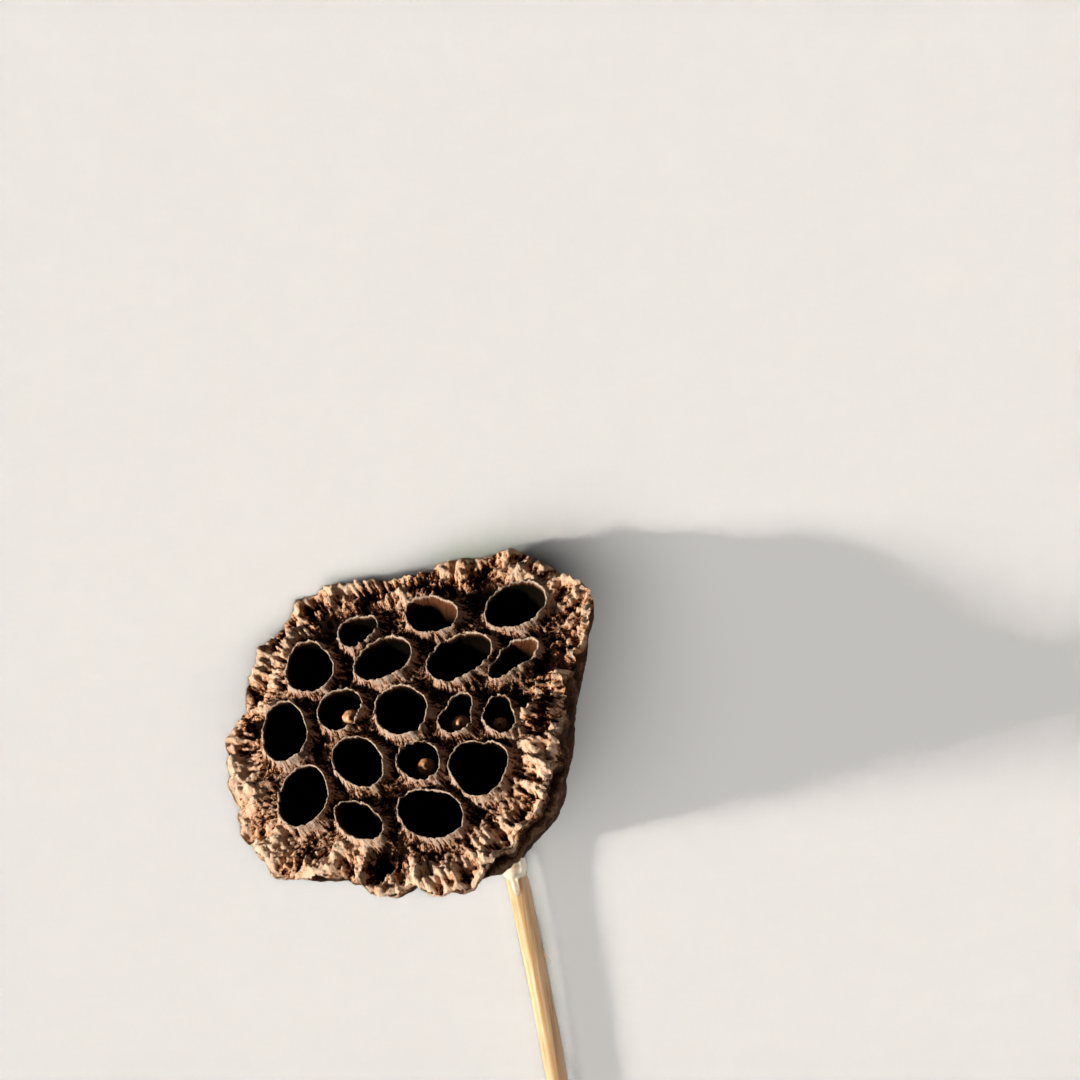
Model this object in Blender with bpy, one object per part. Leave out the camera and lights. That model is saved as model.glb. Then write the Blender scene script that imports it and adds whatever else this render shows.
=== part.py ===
"""A dried lotus pod on a reed stem, lying on its side.

The pod is modelled in a frame of its own, with its face up, its neck down and the middle of the face
at the origin. An empty then lays it on the floor, with the stem running along +Y.
"""

import math
import random

import bmesh
import bpy
from mathutils import Matrix, Vector, noise
from mathutils.geometry import delaunay_2d_cdt

MM = 0.001

# The pod: its mean rim, its depth from face to neck, and the scar where its own stem broke off
RIM_RADIUS = 41.6 * MM
POD_DEPTH = 52 * MM
NECK_RADIUS = 5.0 * MM
SCAR_DEPTH = 1.2 * MM

# How far the wall bulges beyond a cone (1 is a cone), and the side where it is straighter
WALL_ROUNDNESS = 1.35
STRAIGHTER = 0.45
STRAIGHTER_AT = -93
STRAIGHTER_HALF = 28

# Lobes of the rim: bearing, how far it stands out (less than 0 for a dent) and half width
RIM_LOBES = [
    (138, 4.6 * MM, 20),
    (127, 1.4 * MM, 6),
    (176, 2.0 * MM, 16),
    (-148, 0.9 * MM, 12),
    (95, -3.2 * MM, 17),
    (58, 5.4 * MM, 13),
    (33, 7.2 * MM, 12),
    (0, -5.8 * MM, 21),
    (-65, 4.3 * MM, 17),
    (-80, -2.6 * MM, 5),
    (-91, 1.0 * MM, 7),
    (-107, -5.4 * MM, 12),
]
RAGGED_EDGE = 1.8 * MM

# Cells: bearing and distance of the mouth from the middle, its length and width, the way its length
# runs, how three-cornered it is and where one corner points, and whether a seed is still in it
MIDDLE_CELL = [(98, 2.0, 13.9, 10.8, 140, 0.01, 10, False)]
INNER_CELLS = [
    (-3, 13.2, 9.4, 7.3, 72, 0.12, 75, True),
    (50, 18.2, 14.8, 10.7, 17, 0.02, 16, False),
    (113, 17.1, 13.3, 10.5, 12, 0.02, 108, False),
    (165, 16.2, 10.4, 9.9, 154, 0.05, 41, True),
    (226, 13.2, 15.0, 9.8, 137, 0.03, 61, False),
    (297, 12.3, 11.0, 8.4, 142, 0.02, 67, True),
]
OUTER_CELLS = [
    (-4, 23.2, 9.6, 6.5, 117, 0.09, 77, True),
    (27, 27.7, 12.7, 6.2, 40, 0.09, 115, False),
    (48, 34.9, 13.9, 11.6, 14, 0.03, 98, False),
    (83, 26.0, 13.3, 8.7, 158, 0.03, 114, False),
    (121, 28.0, 9.2, 7.4, 18, 0.06, 23, True),
    (147, 29.7, 14.3, 10.3, 127, 0.06, 102, False),
    (179, 28.7, 15.4, 10.5, 109, 0.05, 109, False),
    (217, 27.1, 14.5, 11.9, 97, 0.03, 104, False),
    (253, 25.0, 13.9, 7.1, 146, 0.01, 93, False),
    (292, 26.1, 16.7, 10.7, 155, 0.03, 28, False),
    (325, 24.4, 14.3, 12.1, 140, 0.08, 32, False),
]
INNER_DEPTH = 18 * MM
OUTER_DEPTH = 15 * MM
SEEDED_DEPTH = 7.2 * MM
CELLS_MEET = 62 * MM

# The face: its dome, the net that sank between the cells, and the raised lip round each mouth
DOME = 2.0 * MM
NET_SINK = 2.0 * MM
LIP_RISE = 1.5 * MM
LIP_AT = 0.5 * MM
LIP_HALF = 1.1 * MM
SINK_WITHIN = 2.2 * MM
LIP_CLEAR = 1.8 * MM
FOOT_AT = 2.6 * MM
FOOT_LEAST = 0.9 * MM

# Wrinkles of the rim: height on the face, height on the wall, how far each reaches, and how far down
# the wall follows the ups and downs of the rim
RIDGE_ON_FACE = 2.1 * MM
RIDGE_BAND = 10 * MM
RIM_SWELL = 0.9 * MM
RIDGE_ON_WALL = 1.9 * MM
RIDGE_REACH = 12 * MM
FOLD_ON_WALL = 1.8 * MM
RIM_CARRY = 12 * MM
RIDGES_ROUND = 5.5
FOLDS_ROUND = 2.6

# Hollows in the band outside the cells: bearing, distance, radius and depth
HOLLOWS = [
    (19, 34.0, 4.5, 2.2),
    (89, 35.0, 4.5, 2.2),
    (113, 35.5, 3.5, 1.8),
    (70, 36.5, 4.0, 1.6),
    (131, 37.0, 3.5, 1.4),
    (-128, 37.5, 3.5, 1.6),
    (-94, 34.5, 3.5, 1.8),
]

# Mesh density: points round the rim and a mouth, where the rim's two loops lie in from its edge, the
# spacing of the loose points of the net and how far they keep from the rim, a cell and a loop
RIM_POINTS = 96
MOUTH_POINTS = 18
RIM_INSETS = (0.7 * MM, 2.8 * MM)
NET_SPACING = 3.0 * MM
CLEAR_OF_RIM = 4.0 * MM
CLEAR_OF_CELLS = 3.4 * MM
CLEAR_OF_LOOPS = 1.5 * MM
WALL_DEPTHS = [2.5, 5.5, 9, 13, 17.5, 22.5, 28, 33.5, 39, 43.5, 47.5, 50.5]
CELL_STEPS = [0.15, 0.45, 0.8, 0.95]

# Seeds, shrivelled to beads with a short nub, and the way they lean to the mouth
SEED_LENGTH = 5.2 * MM
SEED_WIDTH = 4.5 * MM
SEED_NUB = 0.6 * MM
SEED_LEAN = 28
SEED_LEANS_TO = -50
SEED_SCALES = [0.94, 1.0, 0.92, 0.8, 0.8]

# Room left between two pieces that touch, and the same measured level at the sloping neck
GAP = 0.33 * MM
GAP_AT_NECK = 0.5 * MM

# How the pod lies: its axis lifted off the floor and turned from -Y, the pod rolled about that axis,
# and how much its underside is worn flat where it rests
AXIS_LIFT = 37.2
AXIS_TURN = 20.0
POD_ROLL = 159.3
WORN_FLAT = 0.8 * MM

# The stem: a fluted reed, pushed slantwise into the neck, that bows a little in the plane of the floor
STEM_LENGTH = 190 * MM
STEM_INSIDE = 8 * MM
STEM_RADIUS = 2.5 * MM
STEM_TIP_RADIUS = 2.3 * MM
STEM_BOW = 10
STEM_POINTS = 34
STEM_SIDES = 18
FLUTE_DEPTH = 0.05

# Glue round the stem where it leaves the neck: thickest at the neck and on top
GLUE_START = -4 * MM
GLUE_END = 9 * MM
GLUE_THICK = 2.1 * MM
GLUE_LUMPS = 0.5 * MM
GLUE_BELOW = 0.3
GLUE_RINGS = 10
GLUE_SIDES = 20

COLOURS = {
    "pod": ((0.20, 0.085, 0.045), 0.85),
    "seed": ((0.48, 0.22, 0.10), 0.45),
    "stem": ((0.66, 0.46, 0.23), 0.60),
    "glue_bead": ((0.80, 0.72, 0.55), 0.15),
}


def clear_scene():
    for thing in list(bpy.data.objects):
        bpy.data.objects.remove(thing, do_unlink=True)


def collection(name):
    made = bpy.data.collections.new(name)
    bpy.context.scene.collection.children.link(made)
    return made


def finish_of(name):
    colour, roughness = COLOURS[name]
    material = bpy.data.materials.new(name)
    material.use_nodes = True
    shader = material.node_tree.nodes["Principled BSDF"]
    shader.inputs["Base Color"].default_value = (*colour, 1)
    shader.inputs["Roughness"].default_value = roughness
    return material


def object_from(name, mesh, home, material=None):
    made = bpy.data.objects.new(name, mesh)
    home.objects.link(made)
    if material:
        mesh.materials.append(material)
        mesh.shade_smooth()
        mesh.set_sharp_from_angle(angle=math.radians(50))
    return made


def angle_between(a, b):
    return (a - b + math.pi) % (2 * math.pi) - math.pi


def polar(radius, bearing):
    return Vector((radius * math.cos(bearing), radius * math.sin(bearing)))


def ridge(bearing, run, around, stretch):
    """Ridged noise on a cylinder, so that it closes on itself: 1 on a crest, below 0 in a furrow."""
    x, y = polar(around, bearing)
    return 1 - 3 * abs(noise.noise(Vector((x, y, run / stretch))))


def rim_radius(bearing):
    reach = RIM_RADIUS
    for middle, out, half in RIM_LOBES:
        off = angle_between(bearing, math.radians(middle))
        reach += out * math.exp(-((off / math.radians(half)) ** 2))
    x, y = polar(4, bearing)
    return reach + RAGGED_EDGE * noise.noise(Vector((x, y, 7)))


class Cell:
    """One seed chamber, whose mouth is an ellipse pulled towards three corners."""

    def __init__(self, row, depth):
        bearing, distance, length, width, turn, corner, points_to, seeded = row
        self.centre = polar(distance * MM, math.radians(bearing))
        self.half_length = length * MM / 2
        self.half_width = width * MM / 2
        self.turn = math.radians(turn)
        self.corner = corner
        self.points_to = math.radians(points_to)
        self.seeded = seeded
        self.depth = SEEDED_DEPTH if seeded else depth

    def reach(self, bearing):
        """Distance from the cell's centre to the edge of its mouth."""
        along = self.half_width * math.cos(bearing - self.turn)
        across = self.half_length * math.sin(bearing - self.turn)
        ellipse = self.half_length * self.half_width / math.hypot(along, across)
        return ellipse * (1 + self.corner * math.cos(3 * (bearing - self.points_to)))

    def gap(self, point):
        """How far outside the mouth's edge a point of the face lies."""
        off = point - self.centre
        return off.length - self.reach(math.atan2(off.y, off.x))

    def loop(self, out, count):
        bearings = [2 * math.pi * i / count for i in range(count)]
        return [self.centre + polar(self.reach(b) + out, b) for b in bearings]

    def inside(self, share, point):
        """Where a point of the mouth's edge comes to, at a share of the way down the cell."""
        sunk = self.depth * share
        narrow = 1 - sunk / CELLS_MEET
        bowl = math.sqrt(max(0, 1 - max(0, (share - 0.6) / 0.4) ** 2))
        rim = self.centre + (point - self.centre) * bowl
        lip = face_height(point)
        return Vector((*(rim * narrow), lip - sunk))

    def floor(self):
        return self.inside(1, self.centre)


def all_cells():
    inner = [Cell(row, INNER_DEPTH) for row in MIDDLE_CELL + INNER_CELLS]
    return inner + [Cell(row, OUTER_DEPTH) for row in OUTER_CELLS]


CELLS = all_cells()


def hollow_at(point):
    """Depth of the hollows in the band outside the cells."""
    depth = 0
    for bearing, distance, radius, deep in HOLLOWS:
        off = (point - polar(distance * MM, math.radians(bearing))).length
        depth += deep * MM * math.exp(-((off / (radius * MM)) ** 2))
    return depth


def face_height(point):
    """Height of the face: a low dome, a sunken net with raised lips in it, and a wrinkled rim."""
    bearing = math.atan2(point.y, point.x)
    from_rim = rim_radius(bearing) - point.length
    gap = max(0, min(cell.gap(point) for cell in CELLS))
    height = DOME * (1 - (point.length / RIM_RADIUS) ** 2)
    height -= NET_SINK * (1 - math.exp(-((gap / SINK_WITHIN) ** 2)))
    height += LIP_RISE * math.exp(-(((gap - LIP_AT) / LIP_HALF) ** 2))
    band = math.exp(-((from_rim / RIDGE_BAND) ** 4))
    open_ground = 1 - math.exp(-((gap / LIP_CLEAR) ** 2))
    wrinkle = ridge(bearing, point.length, RIDGES_ROUND, 9 * MM)
    height += band * open_ground * (RIDGE_ON_FACE * wrinkle + RIM_SWELL)
    return height - open_ground * hollow_at(point)


def wall_point(bearing, depth, out=0.0):
    """A point of the outer wall: near-conical, lobed and wrinkled under the rim, plain at the neck."""
    share = depth / POD_DEPTH
    neck = NECK_RADIUS / RIM_RADIUS
    off = angle_between(bearing, math.radians(STRAIGHTER_AT)) / math.radians(STRAIGHTER_HALF)
    roundness = WALL_ROUNDNESS - STRAIGHTER * math.exp(-(off**2))
    ratio = neck + (1 - neck) * (1 - share**roundness)
    fade = min(1, depth / (26 * MM))
    reach = (rim_radius(bearing) * (1 - fade) + RIM_RADIUS * fade) * ratio
    wrinkle = ridge(bearing, depth, RIDGES_ROUND, 14 * MM) - 0.3
    reach += RIDGE_ON_WALL * wrinkle * math.exp(-depth / RIDGE_REACH)
    x, y = polar(FOLDS_ROUND, bearing)
    fold = noise.noise(Vector((x, y, 3 + depth / (40 * MM))))
    reach += FOLD_ON_WALL * 2 * fold * (1 - share) * min(1, depth / (8 * MM))
    carried = max(0, 1 - depth / RIM_CARRY)
    rim_height = face_height(polar(rim_radius(bearing) - RIM_INSETS[0], bearing))
    return Vector((*polar(reach + out, bearing), rim_height * carried - depth))


def rim_bearings():
    return [2 * math.pi * i / RIM_POINTS for i in range(RIM_POINTS)]


def net_points(loops):
    """Loose points of the net: a jittered hexagonal grid, kept clear of the loops."""
    draw = random.Random(5)
    placed = [point for loop in loops for point in loop]
    row_step = NET_SPACING * math.sqrt(3) / 2
    rows = int(1.2 * RIM_RADIUS / row_step)
    found = []
    for row in range(-rows, rows + 1):
        for column in range(-rows, rows + 1):
            x = NET_SPACING * (column + 0.5 * (row % 2) + draw.uniform(-0.15, 0.15))
            y = row_step * row + NET_SPACING * draw.uniform(-0.15, 0.15)
            point = Vector((x, y))
            if point.length > rim_radius(math.atan2(y, x)) - CLEAR_OF_RIM:
                continue
            if min(cell.gap(point) for cell in CELLS) < CLEAR_OF_CELLS:
                continue
            if min((point - other).length for other in placed) > CLEAR_OF_LOOPS:
                found.append(point)
    return found


def loops_of_face():
    """Closed loops in the face: two along the rim, and a foot, a crest and a mouth for each cell."""
    rim = [[polar(rim_radius(b) - inset, b) for b in rim_bearings()] for inset in RIM_INSETS]
    feet = [foot_of(cell) for cell in CELLS]
    crests = [cell.loop(LIP_AT, MOUTH_POINTS) for cell in CELLS]
    mouths = [cell.loop(0, MOUTH_POINTS) for cell in CELLS]
    return rim, feet, crests, mouths


def foot_of(cell):
    """The foot of a cell's lip, held back where another cell or the rim is close."""
    others = [other for other in CELLS if other is not cell]
    foot = []
    for edge in cell.loop(0, MOUTH_POINTS):
        room = min(other.gap(edge) for other in others) / 2 - 0.1 * MM
        to_rim = rim_radius(math.atan2(edge.y, edge.x)) - edge.length - RIM_INSETS[1] - 0.8 * MM
        out = max(FOOT_LEAST, min(FOOT_AT, room, to_rim))
        foot.append(edge + (edge - cell.centre).normalized() * out)
    return foot


def pod_mesh():
    """One closed skin: the face, the inside of each cell, the wall and the scar."""
    rim, feet, crests, mouths = loops_of_face()
    loops = rim + feet + crests + mouths
    flat = [point for loop in loops for point in loop] + net_points(loops)
    outlines = []
    for loop in loops:
        start = sum(len(outline) for outline in outlines)
        outlines.append(list(range(start, start + len(loop))))
    points, _, triangles, sources, _, inside = delaunay_2d_cdt(flat, [], outlines, 0, 1e-7)
    mesh = bmesh.new()
    verts = [mesh.verts.new((*point, face_height(point))) for point in points]
    index_of = {old: new for new, olds in enumerate(sources) for old in olds}
    first_hole = len(loops) - len(mouths)
    for corners, within in zip(triangles, inside):
        if 0 in within and max(within) < first_hole:
            mesh.faces.new([verts[i] for i in corners])
    first_mouth = sum(len(loop) for loop in rim + feet + crests)
    for number, (cell, mouth) in enumerate(zip(CELLS, mouths)):
        base = first_mouth + number * MOUTH_POINTS
        ring = [verts[index_of[base + i]] for i in range(MOUTH_POINTS)]
        for share in CELL_STEPS:
            ring = bridge(mesh, ring, [cell.inside(share, point) for point in mouth])
        close(mesh, ring, cell.floor())
    ring = [verts[index_of[i]] for i in range(RIM_POINTS)]
    for depth in WALL_DEPTHS:
        ring = bridge(mesh, ring, [wall_point(b, depth * MM) for b in rim_bearings()])
    for radius, depth in ((NECK_RADIUS, POD_DEPTH), (0.7 * NECK_RADIUS, POD_DEPTH - SCAR_DEPTH)):
        ring = bridge(mesh, ring, [Vector((*polar(radius, b), -depth)) for b in rim_bearings()])
    close(mesh, ring, Vector((0, 0, SCAR_DEPTH - POD_DEPTH)))
    bmesh.ops.recalc_face_normals(mesh, faces=mesh.faces)
    return to_mesh(mesh, "pod")


def bridge(mesh, ring, places):
    """Joins a ring of vertices to a new ring, one quad a side."""
    following = [mesh.verts.new(place) for place in places]
    for i in range(len(ring)):
        j = (i + 1) % len(ring)
        mesh.faces.new((ring[i], ring[j], following[j], following[i]))
    return following


def close(mesh, ring, middle):
    centre = mesh.verts.new(middle)
    for i in range(len(ring)):
        mesh.faces.new((ring[i], ring[(i + 1) % len(ring)], centre))


def to_mesh(mesh, name):
    made = bpy.data.meshes.new(name)
    mesh.to_mesh(made)
    mesh.free()
    return made


def seed_mesh():
    """A bead with its nub on +Z, the same for each seed."""
    mesh = bmesh.new()
    bmesh.ops.create_uvsphere(mesh, u_segments=12, v_segments=9, radius=1)
    for vert in mesh.verts:
        nub = math.exp(-((math.hypot(vert.co.x, vert.co.y) / 0.3) ** 2)) if vert.co.z > 0 else 0
        shrunk = 1 + 0.08 * noise.noise(vert.co * 2.5)
        vert.co.x *= SEED_WIDTH / 2 * shrunk
        vert.co.y *= SEED_WIDTH / 2 * shrunk
        vert.co.z = vert.co.z * SEED_LENGTH / 2 + SEED_NUB * nub
    return to_mesh(mesh, "seed")


def lying():
    """The turn that lays the pod down, from its own frame to the floor's."""
    roll = Matrix.Rotation(math.radians(POD_ROLL), 4, "Z")
    tip = Matrix.Rotation(math.radians(90 - AXIS_LIFT), 4, "X")
    turn = Matrix.Rotation(math.radians(AXIS_TURN), 4, "Z")
    return turn @ tip @ roll


def cut_by(thing, cutters):
    """Cuts a mesh by others and leaves the modifiers on it."""
    for cutter in cutters:
        cut = thing.modifiers.new("cut_by_" + cutter.name, "BOOLEAN")
        cut.operation = "DIFFERENCE"
        cut.solver = "EXACT"
        cut.object = cutter


def cutter_from(name, mesh, home):
    made = object_from(name, mesh, home)
    made.hide_render = True
    made.display_type = "WIRE"
    return made


def tube_mesh(name, rings):
    """A closed tube through rings of points."""
    mesh = bmesh.new()
    ring = [mesh.verts.new(place) for place in rings[0]]
    middle = sum(rings[0], Vector()) / len(rings[0])
    close(mesh, ring, middle)
    for places in rings[1:]:
        ring = bridge(mesh, ring, places)
    close(mesh, ring, sum(rings[-1], Vector()) / len(rings[-1]))
    bmesh.ops.recalc_face_normals(mesh, faces=mesh.faces)
    return to_mesh(mesh, name)


def stem_direction(run):
    """Heading of the stem on the floor, at a distance along it from the neck."""
    heading = math.radians(STEM_BOW) * (0.5 - run / STEM_LENGTH)
    return Vector((-math.sin(heading), math.cos(heading), 0))


def stem_line(neck, tip_height):
    """The stem's middle line: (point, radius) from inside the neck to the cut end."""
    step = STEM_LENGTH / (STEM_POINTS - 1)
    place = neck - stem_direction(0) * STEM_INSIDE
    fall = (neck.z - tip_height) / (STEM_LENGTH - STEM_INSIDE)
    place.z += fall * STEM_INSIDE
    line = []
    for i in range(STEM_POINTS):
        share = i / (STEM_POINTS - 1)
        line.append((place.copy(), STEM_RADIUS + (STEM_TIP_RADIUS - STEM_RADIUS) * share))
        place += stem_direction(i * step - STEM_INSIDE) * step
        place.z -= fall * step
    return line


def ring_round(place, along, radius_at, count):
    """Points round a line, at a radius given for each bearing; a bearing of 90 degrees is up."""
    side = along.cross(Vector((0, 0, 1))).normalized()
    up = side.cross(along).normalized()
    bearings = [2 * math.pi * i / count for i in range(count)]
    return [place + (side * math.cos(b) + up * math.sin(b)) * radius_at(b) for b in bearings]


def stem_object(line, home):
    """A curve bevelled by a fluted outline, with filled caps."""
    outline = bpy.data.curves.new("stem_outline", "CURVE")
    outline.dimensions = "2D"
    spline = outline.splines.new("POLY")
    spline.points.add(STEM_SIDES - 1)
    spline.use_cyclic_u = True
    for i, point in enumerate(spline.points):
        reach = 1 - FLUTE_DEPTH * (i % 2)
        point.co = (*polar(reach, -2 * math.pi * i / STEM_SIDES), 0, 1)
    guide = bpy.data.objects.new("stem_outline", outline)
    bpy.data.collections["cutters"].objects.link(guide)
    guide.hide_render = True
    guide.display_type = "WIRE"
    curve = bpy.data.curves.new("stem", "CURVE")
    curve.dimensions = "3D"
    curve.bevel_mode = "OBJECT"
    curve.bevel_object = guide
    curve.use_fill_caps = True
    path = curve.splines.new("POLY")
    path.points.add(len(line) - 1)
    for point, (place, radius) in zip(path.points, line):
        point.co = (*place, 1)
        point.radius = radius
    curve.materials.append(finish_of("stem"))
    stem = bpy.data.objects.new("stem", curve)
    home.objects.link(stem)
    return stem


def glue_mesh(line):
    """A lumpy collar round the stem, before the stem and the neck are cut out of it."""
    start = line[0][0]
    along = (line[1][0] - start).normalized()
    rings = []
    for i in range(GLUE_RINGS):
        share = i / (GLUE_RINGS - 1)
        run = GLUE_START + (GLUE_END - GLUE_START) * share
        place = start + along * (STEM_INSIDE + run)
        thick = GLUE_THICK * math.sqrt(max(0.03, 1 - share**1.5))

        def radius_at(bearing, thick=thick, run=run):
            uneven = GLUE_BELOW + (1 - GLUE_BELOW) * (1 + math.sin(bearing)) / 2
            x, y = polar(1.3, bearing)
            lump = noise.noise(Vector((x, y, run / (3 * MM)))) + 0.4
            return STEM_RADIUS + (thick + GLUE_LUMPS * lump) * uneven

        rings.append(ring_round(place, along, radius_at, GLUE_SIDES))
    return tube_mesh("glue_bead", rings)


def neck_cutter_mesh():
    """The lower wall and the neck, grown by the room that the glue keeps to them."""
    depths = [depth * MM for depth in WALL_DEPTHS if depth > 22]
    rings = [[wall_point(b, depth, GAP_AT_NECK) for b in rim_bearings()] for depth in depths]
    foot = NECK_RADIUS + GAP_AT_NECK
    rings.append([Vector((*polar(foot, b), -POD_DEPTH - GAP)) for b in rim_bearings()])
    return tube_mesh("neck_cutter", rings)


def rod_mesh(name, line, start, end):
    """A straight rod on the first stretch of the stem, wider than it by the gap."""
    along = (line[1][0] - line[0][0]).normalized()
    rings = [
        ring_round(line[0][0] + along * run, along, lambda b: STEM_RADIUS + GAP, 24)
        for run in (start, end)
    ]
    return tube_mesh(name, rings)


def floor_mesh():
    """A block under the floor, which wears the pod's underside flat."""
    mesh = bmesh.new()
    block = Matrix.Translation((0, 0, -0.05)) @ Matrix.Diagonal((0.3, 0.3, 0.1, 1))
    bmesh.ops.create_cube(mesh, size=1, matrix=block)
    return to_mesh(mesh, "floor_block")


def lay_pod(pod, home):
    """An empty that carries the pod as it lies, sunk by what is worn off its underside."""
    laid = bpy.data.objects.new("laid_pod", None)
    home.objects.link(laid)
    turn = lying()
    lowest = min((turn @ vert.co).z for vert in pod.data.vertices)
    laid.matrix_world = Matrix.Translation((0, 0, -lowest - WORN_FLAT)) @ turn
    pod.parent = laid
    return laid


def add_seeds(laid, home):
    """A seed on the floor of each seeded cell, leaning towards the mouth."""
    finish = finish_of("seed")
    for number, cell in enumerate(cell for cell in CELLS if cell.seeded):
        scale = SEED_SCALES[number]
        seed = object_from(f"seed_{number + 1}", seed_mesh(), home, finish)
        seed.parent = laid
        seed.rotation_euler = (0, math.radians(SEED_LEAN), math.radians(SEED_LEANS_TO))
        seed.scale = (scale, scale, scale)
        above_floor = GAP + SEED_LENGTH / 2 * scale
        seed.location = cell.inside(1 - above_floor / cell.depth, cell.centre)


def centre_over_origin(things, carrier):
    """Moves the carrier so that the middle of the whole object's length and width is at the origin."""
    graph = bpy.context.evaluated_depsgraph_get()
    places = []
    for thing in things:
        shown = thing.evaluated_get(graph)
        places += [shown.matrix_world @ vert.co for vert in shown.to_mesh().vertices]
        shown.to_mesh_clear()
    for axis in (0, 1):
        reach = [place[axis] for place in places]
        carrier.location[axis] = -(min(reach) + max(reach)) / 2


def main():
    clear_scene()
    parts = collection("lotus_pod")
    cutters = collection("cutters")

    pod = object_from("pod", pod_mesh(), parts, finish_of("pod"))
    laid = lay_pod(pod, parts)
    add_seeds(laid, parts)
    neck = laid.matrix_world @ Vector((0, 0, -POD_DEPTH))
    line = stem_line(neck, STEM_TIP_RADIUS)
    stem = stem_object(line, parts)
    glue = object_from("glue_bead", glue_mesh(line), parts, finish_of("glue_bead"))

    hole = cutter_from("stem_hole", rod_mesh("stem_hole", line, -GAP, 20 * MM), cutters)
    floor_block = cutter_from("floor_block", floor_mesh(), cutters)
    cut_by(pod, [floor_block, hole])
    bore = cutter_from("glue_bore", rod_mesh("glue_bore", line, -20 * MM, 30 * MM), cutters)
    neck_cutter = cutter_from("neck_cutter", neck_cutter_mesh(), cutters)
    neck_cutter.parent = laid
    cut_by(glue, [bore, neck_cutter])

    whole = bpy.data.objects.new("whole", None)
    parts.objects.link(whole)
    for thing in (laid, stem, glue, hole, floor_block, bore):
        thing.parent = whole
    shown = [thing for thing in parts.objects if thing.type in ("MESH", "CURVE")]
    centre_over_origin(shown, whole)
    print("neck at", [round(c / MM, 2) for c in neck + whole.location])


main()
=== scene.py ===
# %% [markdown]
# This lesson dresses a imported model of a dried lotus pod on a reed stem. The real pod is the swollen head
# of a lotus flower, dried hard, with an open chamber for each seed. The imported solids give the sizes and
# the places. They could be smoothed and coloured as they are, but tissue this rough needs far more faces,
# so the script replaces every solid with a finer mesh that has its own finish.

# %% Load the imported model
import math
import random

import bpy
from mathutils import Matrix, Vector, noise
from mathutils.geometry import delaunay_2d_cdt


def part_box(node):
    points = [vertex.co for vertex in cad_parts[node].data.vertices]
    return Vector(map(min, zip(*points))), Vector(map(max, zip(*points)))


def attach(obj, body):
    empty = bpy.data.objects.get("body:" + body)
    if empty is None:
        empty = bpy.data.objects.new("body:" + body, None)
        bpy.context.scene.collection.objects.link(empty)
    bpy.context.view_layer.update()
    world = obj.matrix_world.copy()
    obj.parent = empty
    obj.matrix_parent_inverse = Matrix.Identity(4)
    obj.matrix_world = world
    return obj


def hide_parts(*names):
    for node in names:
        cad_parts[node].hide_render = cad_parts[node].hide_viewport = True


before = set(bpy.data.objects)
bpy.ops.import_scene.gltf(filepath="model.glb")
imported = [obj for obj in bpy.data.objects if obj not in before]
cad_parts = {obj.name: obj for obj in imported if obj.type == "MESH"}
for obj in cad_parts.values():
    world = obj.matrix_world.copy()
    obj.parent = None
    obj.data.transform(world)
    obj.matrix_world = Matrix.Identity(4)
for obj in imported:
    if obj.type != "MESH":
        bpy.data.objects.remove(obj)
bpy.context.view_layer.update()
MM = 0.001
print("nodes:", sorted(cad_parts))

# %% [markdown]
# The real pod grew with its face up and its stalk down, and here it lies on its side. It could be shaped
# as it lies, with every number tilted. It is easier to shape it upright, with the middle of the face at
# the origin, and to lay it down with one matrix. The place where the stem meets the pod's neck is the
# fixed point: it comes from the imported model.

# %% Where the pod lies
POD_DEPTH = 52 * MM
NECK_AT = Vector((-13.97, -57.65, 5.33)) * MM
AXIS_LIFT = math.radians(37.2)
AXIS_TURN = math.radians(20.0)
POD_ROLL = math.radians(159.3)


def lying():
    """The turn that lays the pod down: roll about its axis, tip over, turn on the floor."""
    roll = Matrix.Rotation(POD_ROLL, 4, "Z")
    tip = Matrix.Rotation(math.pi / 2 - AXIS_LIFT, 4, "X")
    return Matrix.Rotation(AXIS_TURN, 4, "Z") @ tip @ roll


TURN = lying()
FACE_AT = NECK_AT + TURN @ Vector((0, 0, POD_DEPTH))
POD_TO_FLOOR = Matrix.Translation(FACE_AT) @ TURN
print("middle of the face at", [round(c / MM, 1) for c in FACE_AT], "mm")

# %% [markdown]
# The rim is the pod's widest line. It grew round and shrank unevenly as it dried. A curve drawn by hand
# could follow it. Here it is a circle with lobes and dents, each a soft bump with a bearing, a reach and
# a half width, because each of them stays a number that can be changed. Finer octaves of noise make the
# edge ragged, as the dried tissue is. One side is knobby, and another dried round.

# %% The rim's outline
RIM_RADIUS = 41.6 * MM
RIM_LOBES = [
    (138, 4.6 * MM, 20),
    (127, 1.4 * MM, 6),
    (176, 2.0 * MM, 16),
    (-148, 0.9 * MM, 12),
    (95, -3.2 * MM, 17),
    (58, 5.4 * MM, 13),
    (33, 7.2 * MM, 12),
    (0, -5.8 * MM, 21),
    (-65, 4.3 * MM, 17),
    (-80, -2.6 * MM, 5),
    (-91, 1.0 * MM, 7),
    (-107, -5.4 * MM, 12),
]
RAGGED_EDGE = 1.8 * MM
KNOBBY_SIDE = math.radians(8)
KNOBBY_HALF = math.radians(30)
ROUNDED_SIDE = math.radians(205)
ROUNDED_HALF = math.radians(50)


def polar(radius, bearing):
    return Vector((radius * math.cos(bearing), radius * math.sin(bearing)))


def angle_between(a, b):
    return (a - b + math.pi) % (2 * math.pi) - math.pi


def round_noise(bearing, around, run=0.0):
    """Noise that closes on itself round the pod; around is how fine it is."""
    x, y = polar(around, bearing)
    return noise.noise(Vector((x, y, run)))


def crest(value):
    """Turns noise into ridges: 1 on a crest, below 0 in a furrow."""
    return 1 - 3 * abs(value)


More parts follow.
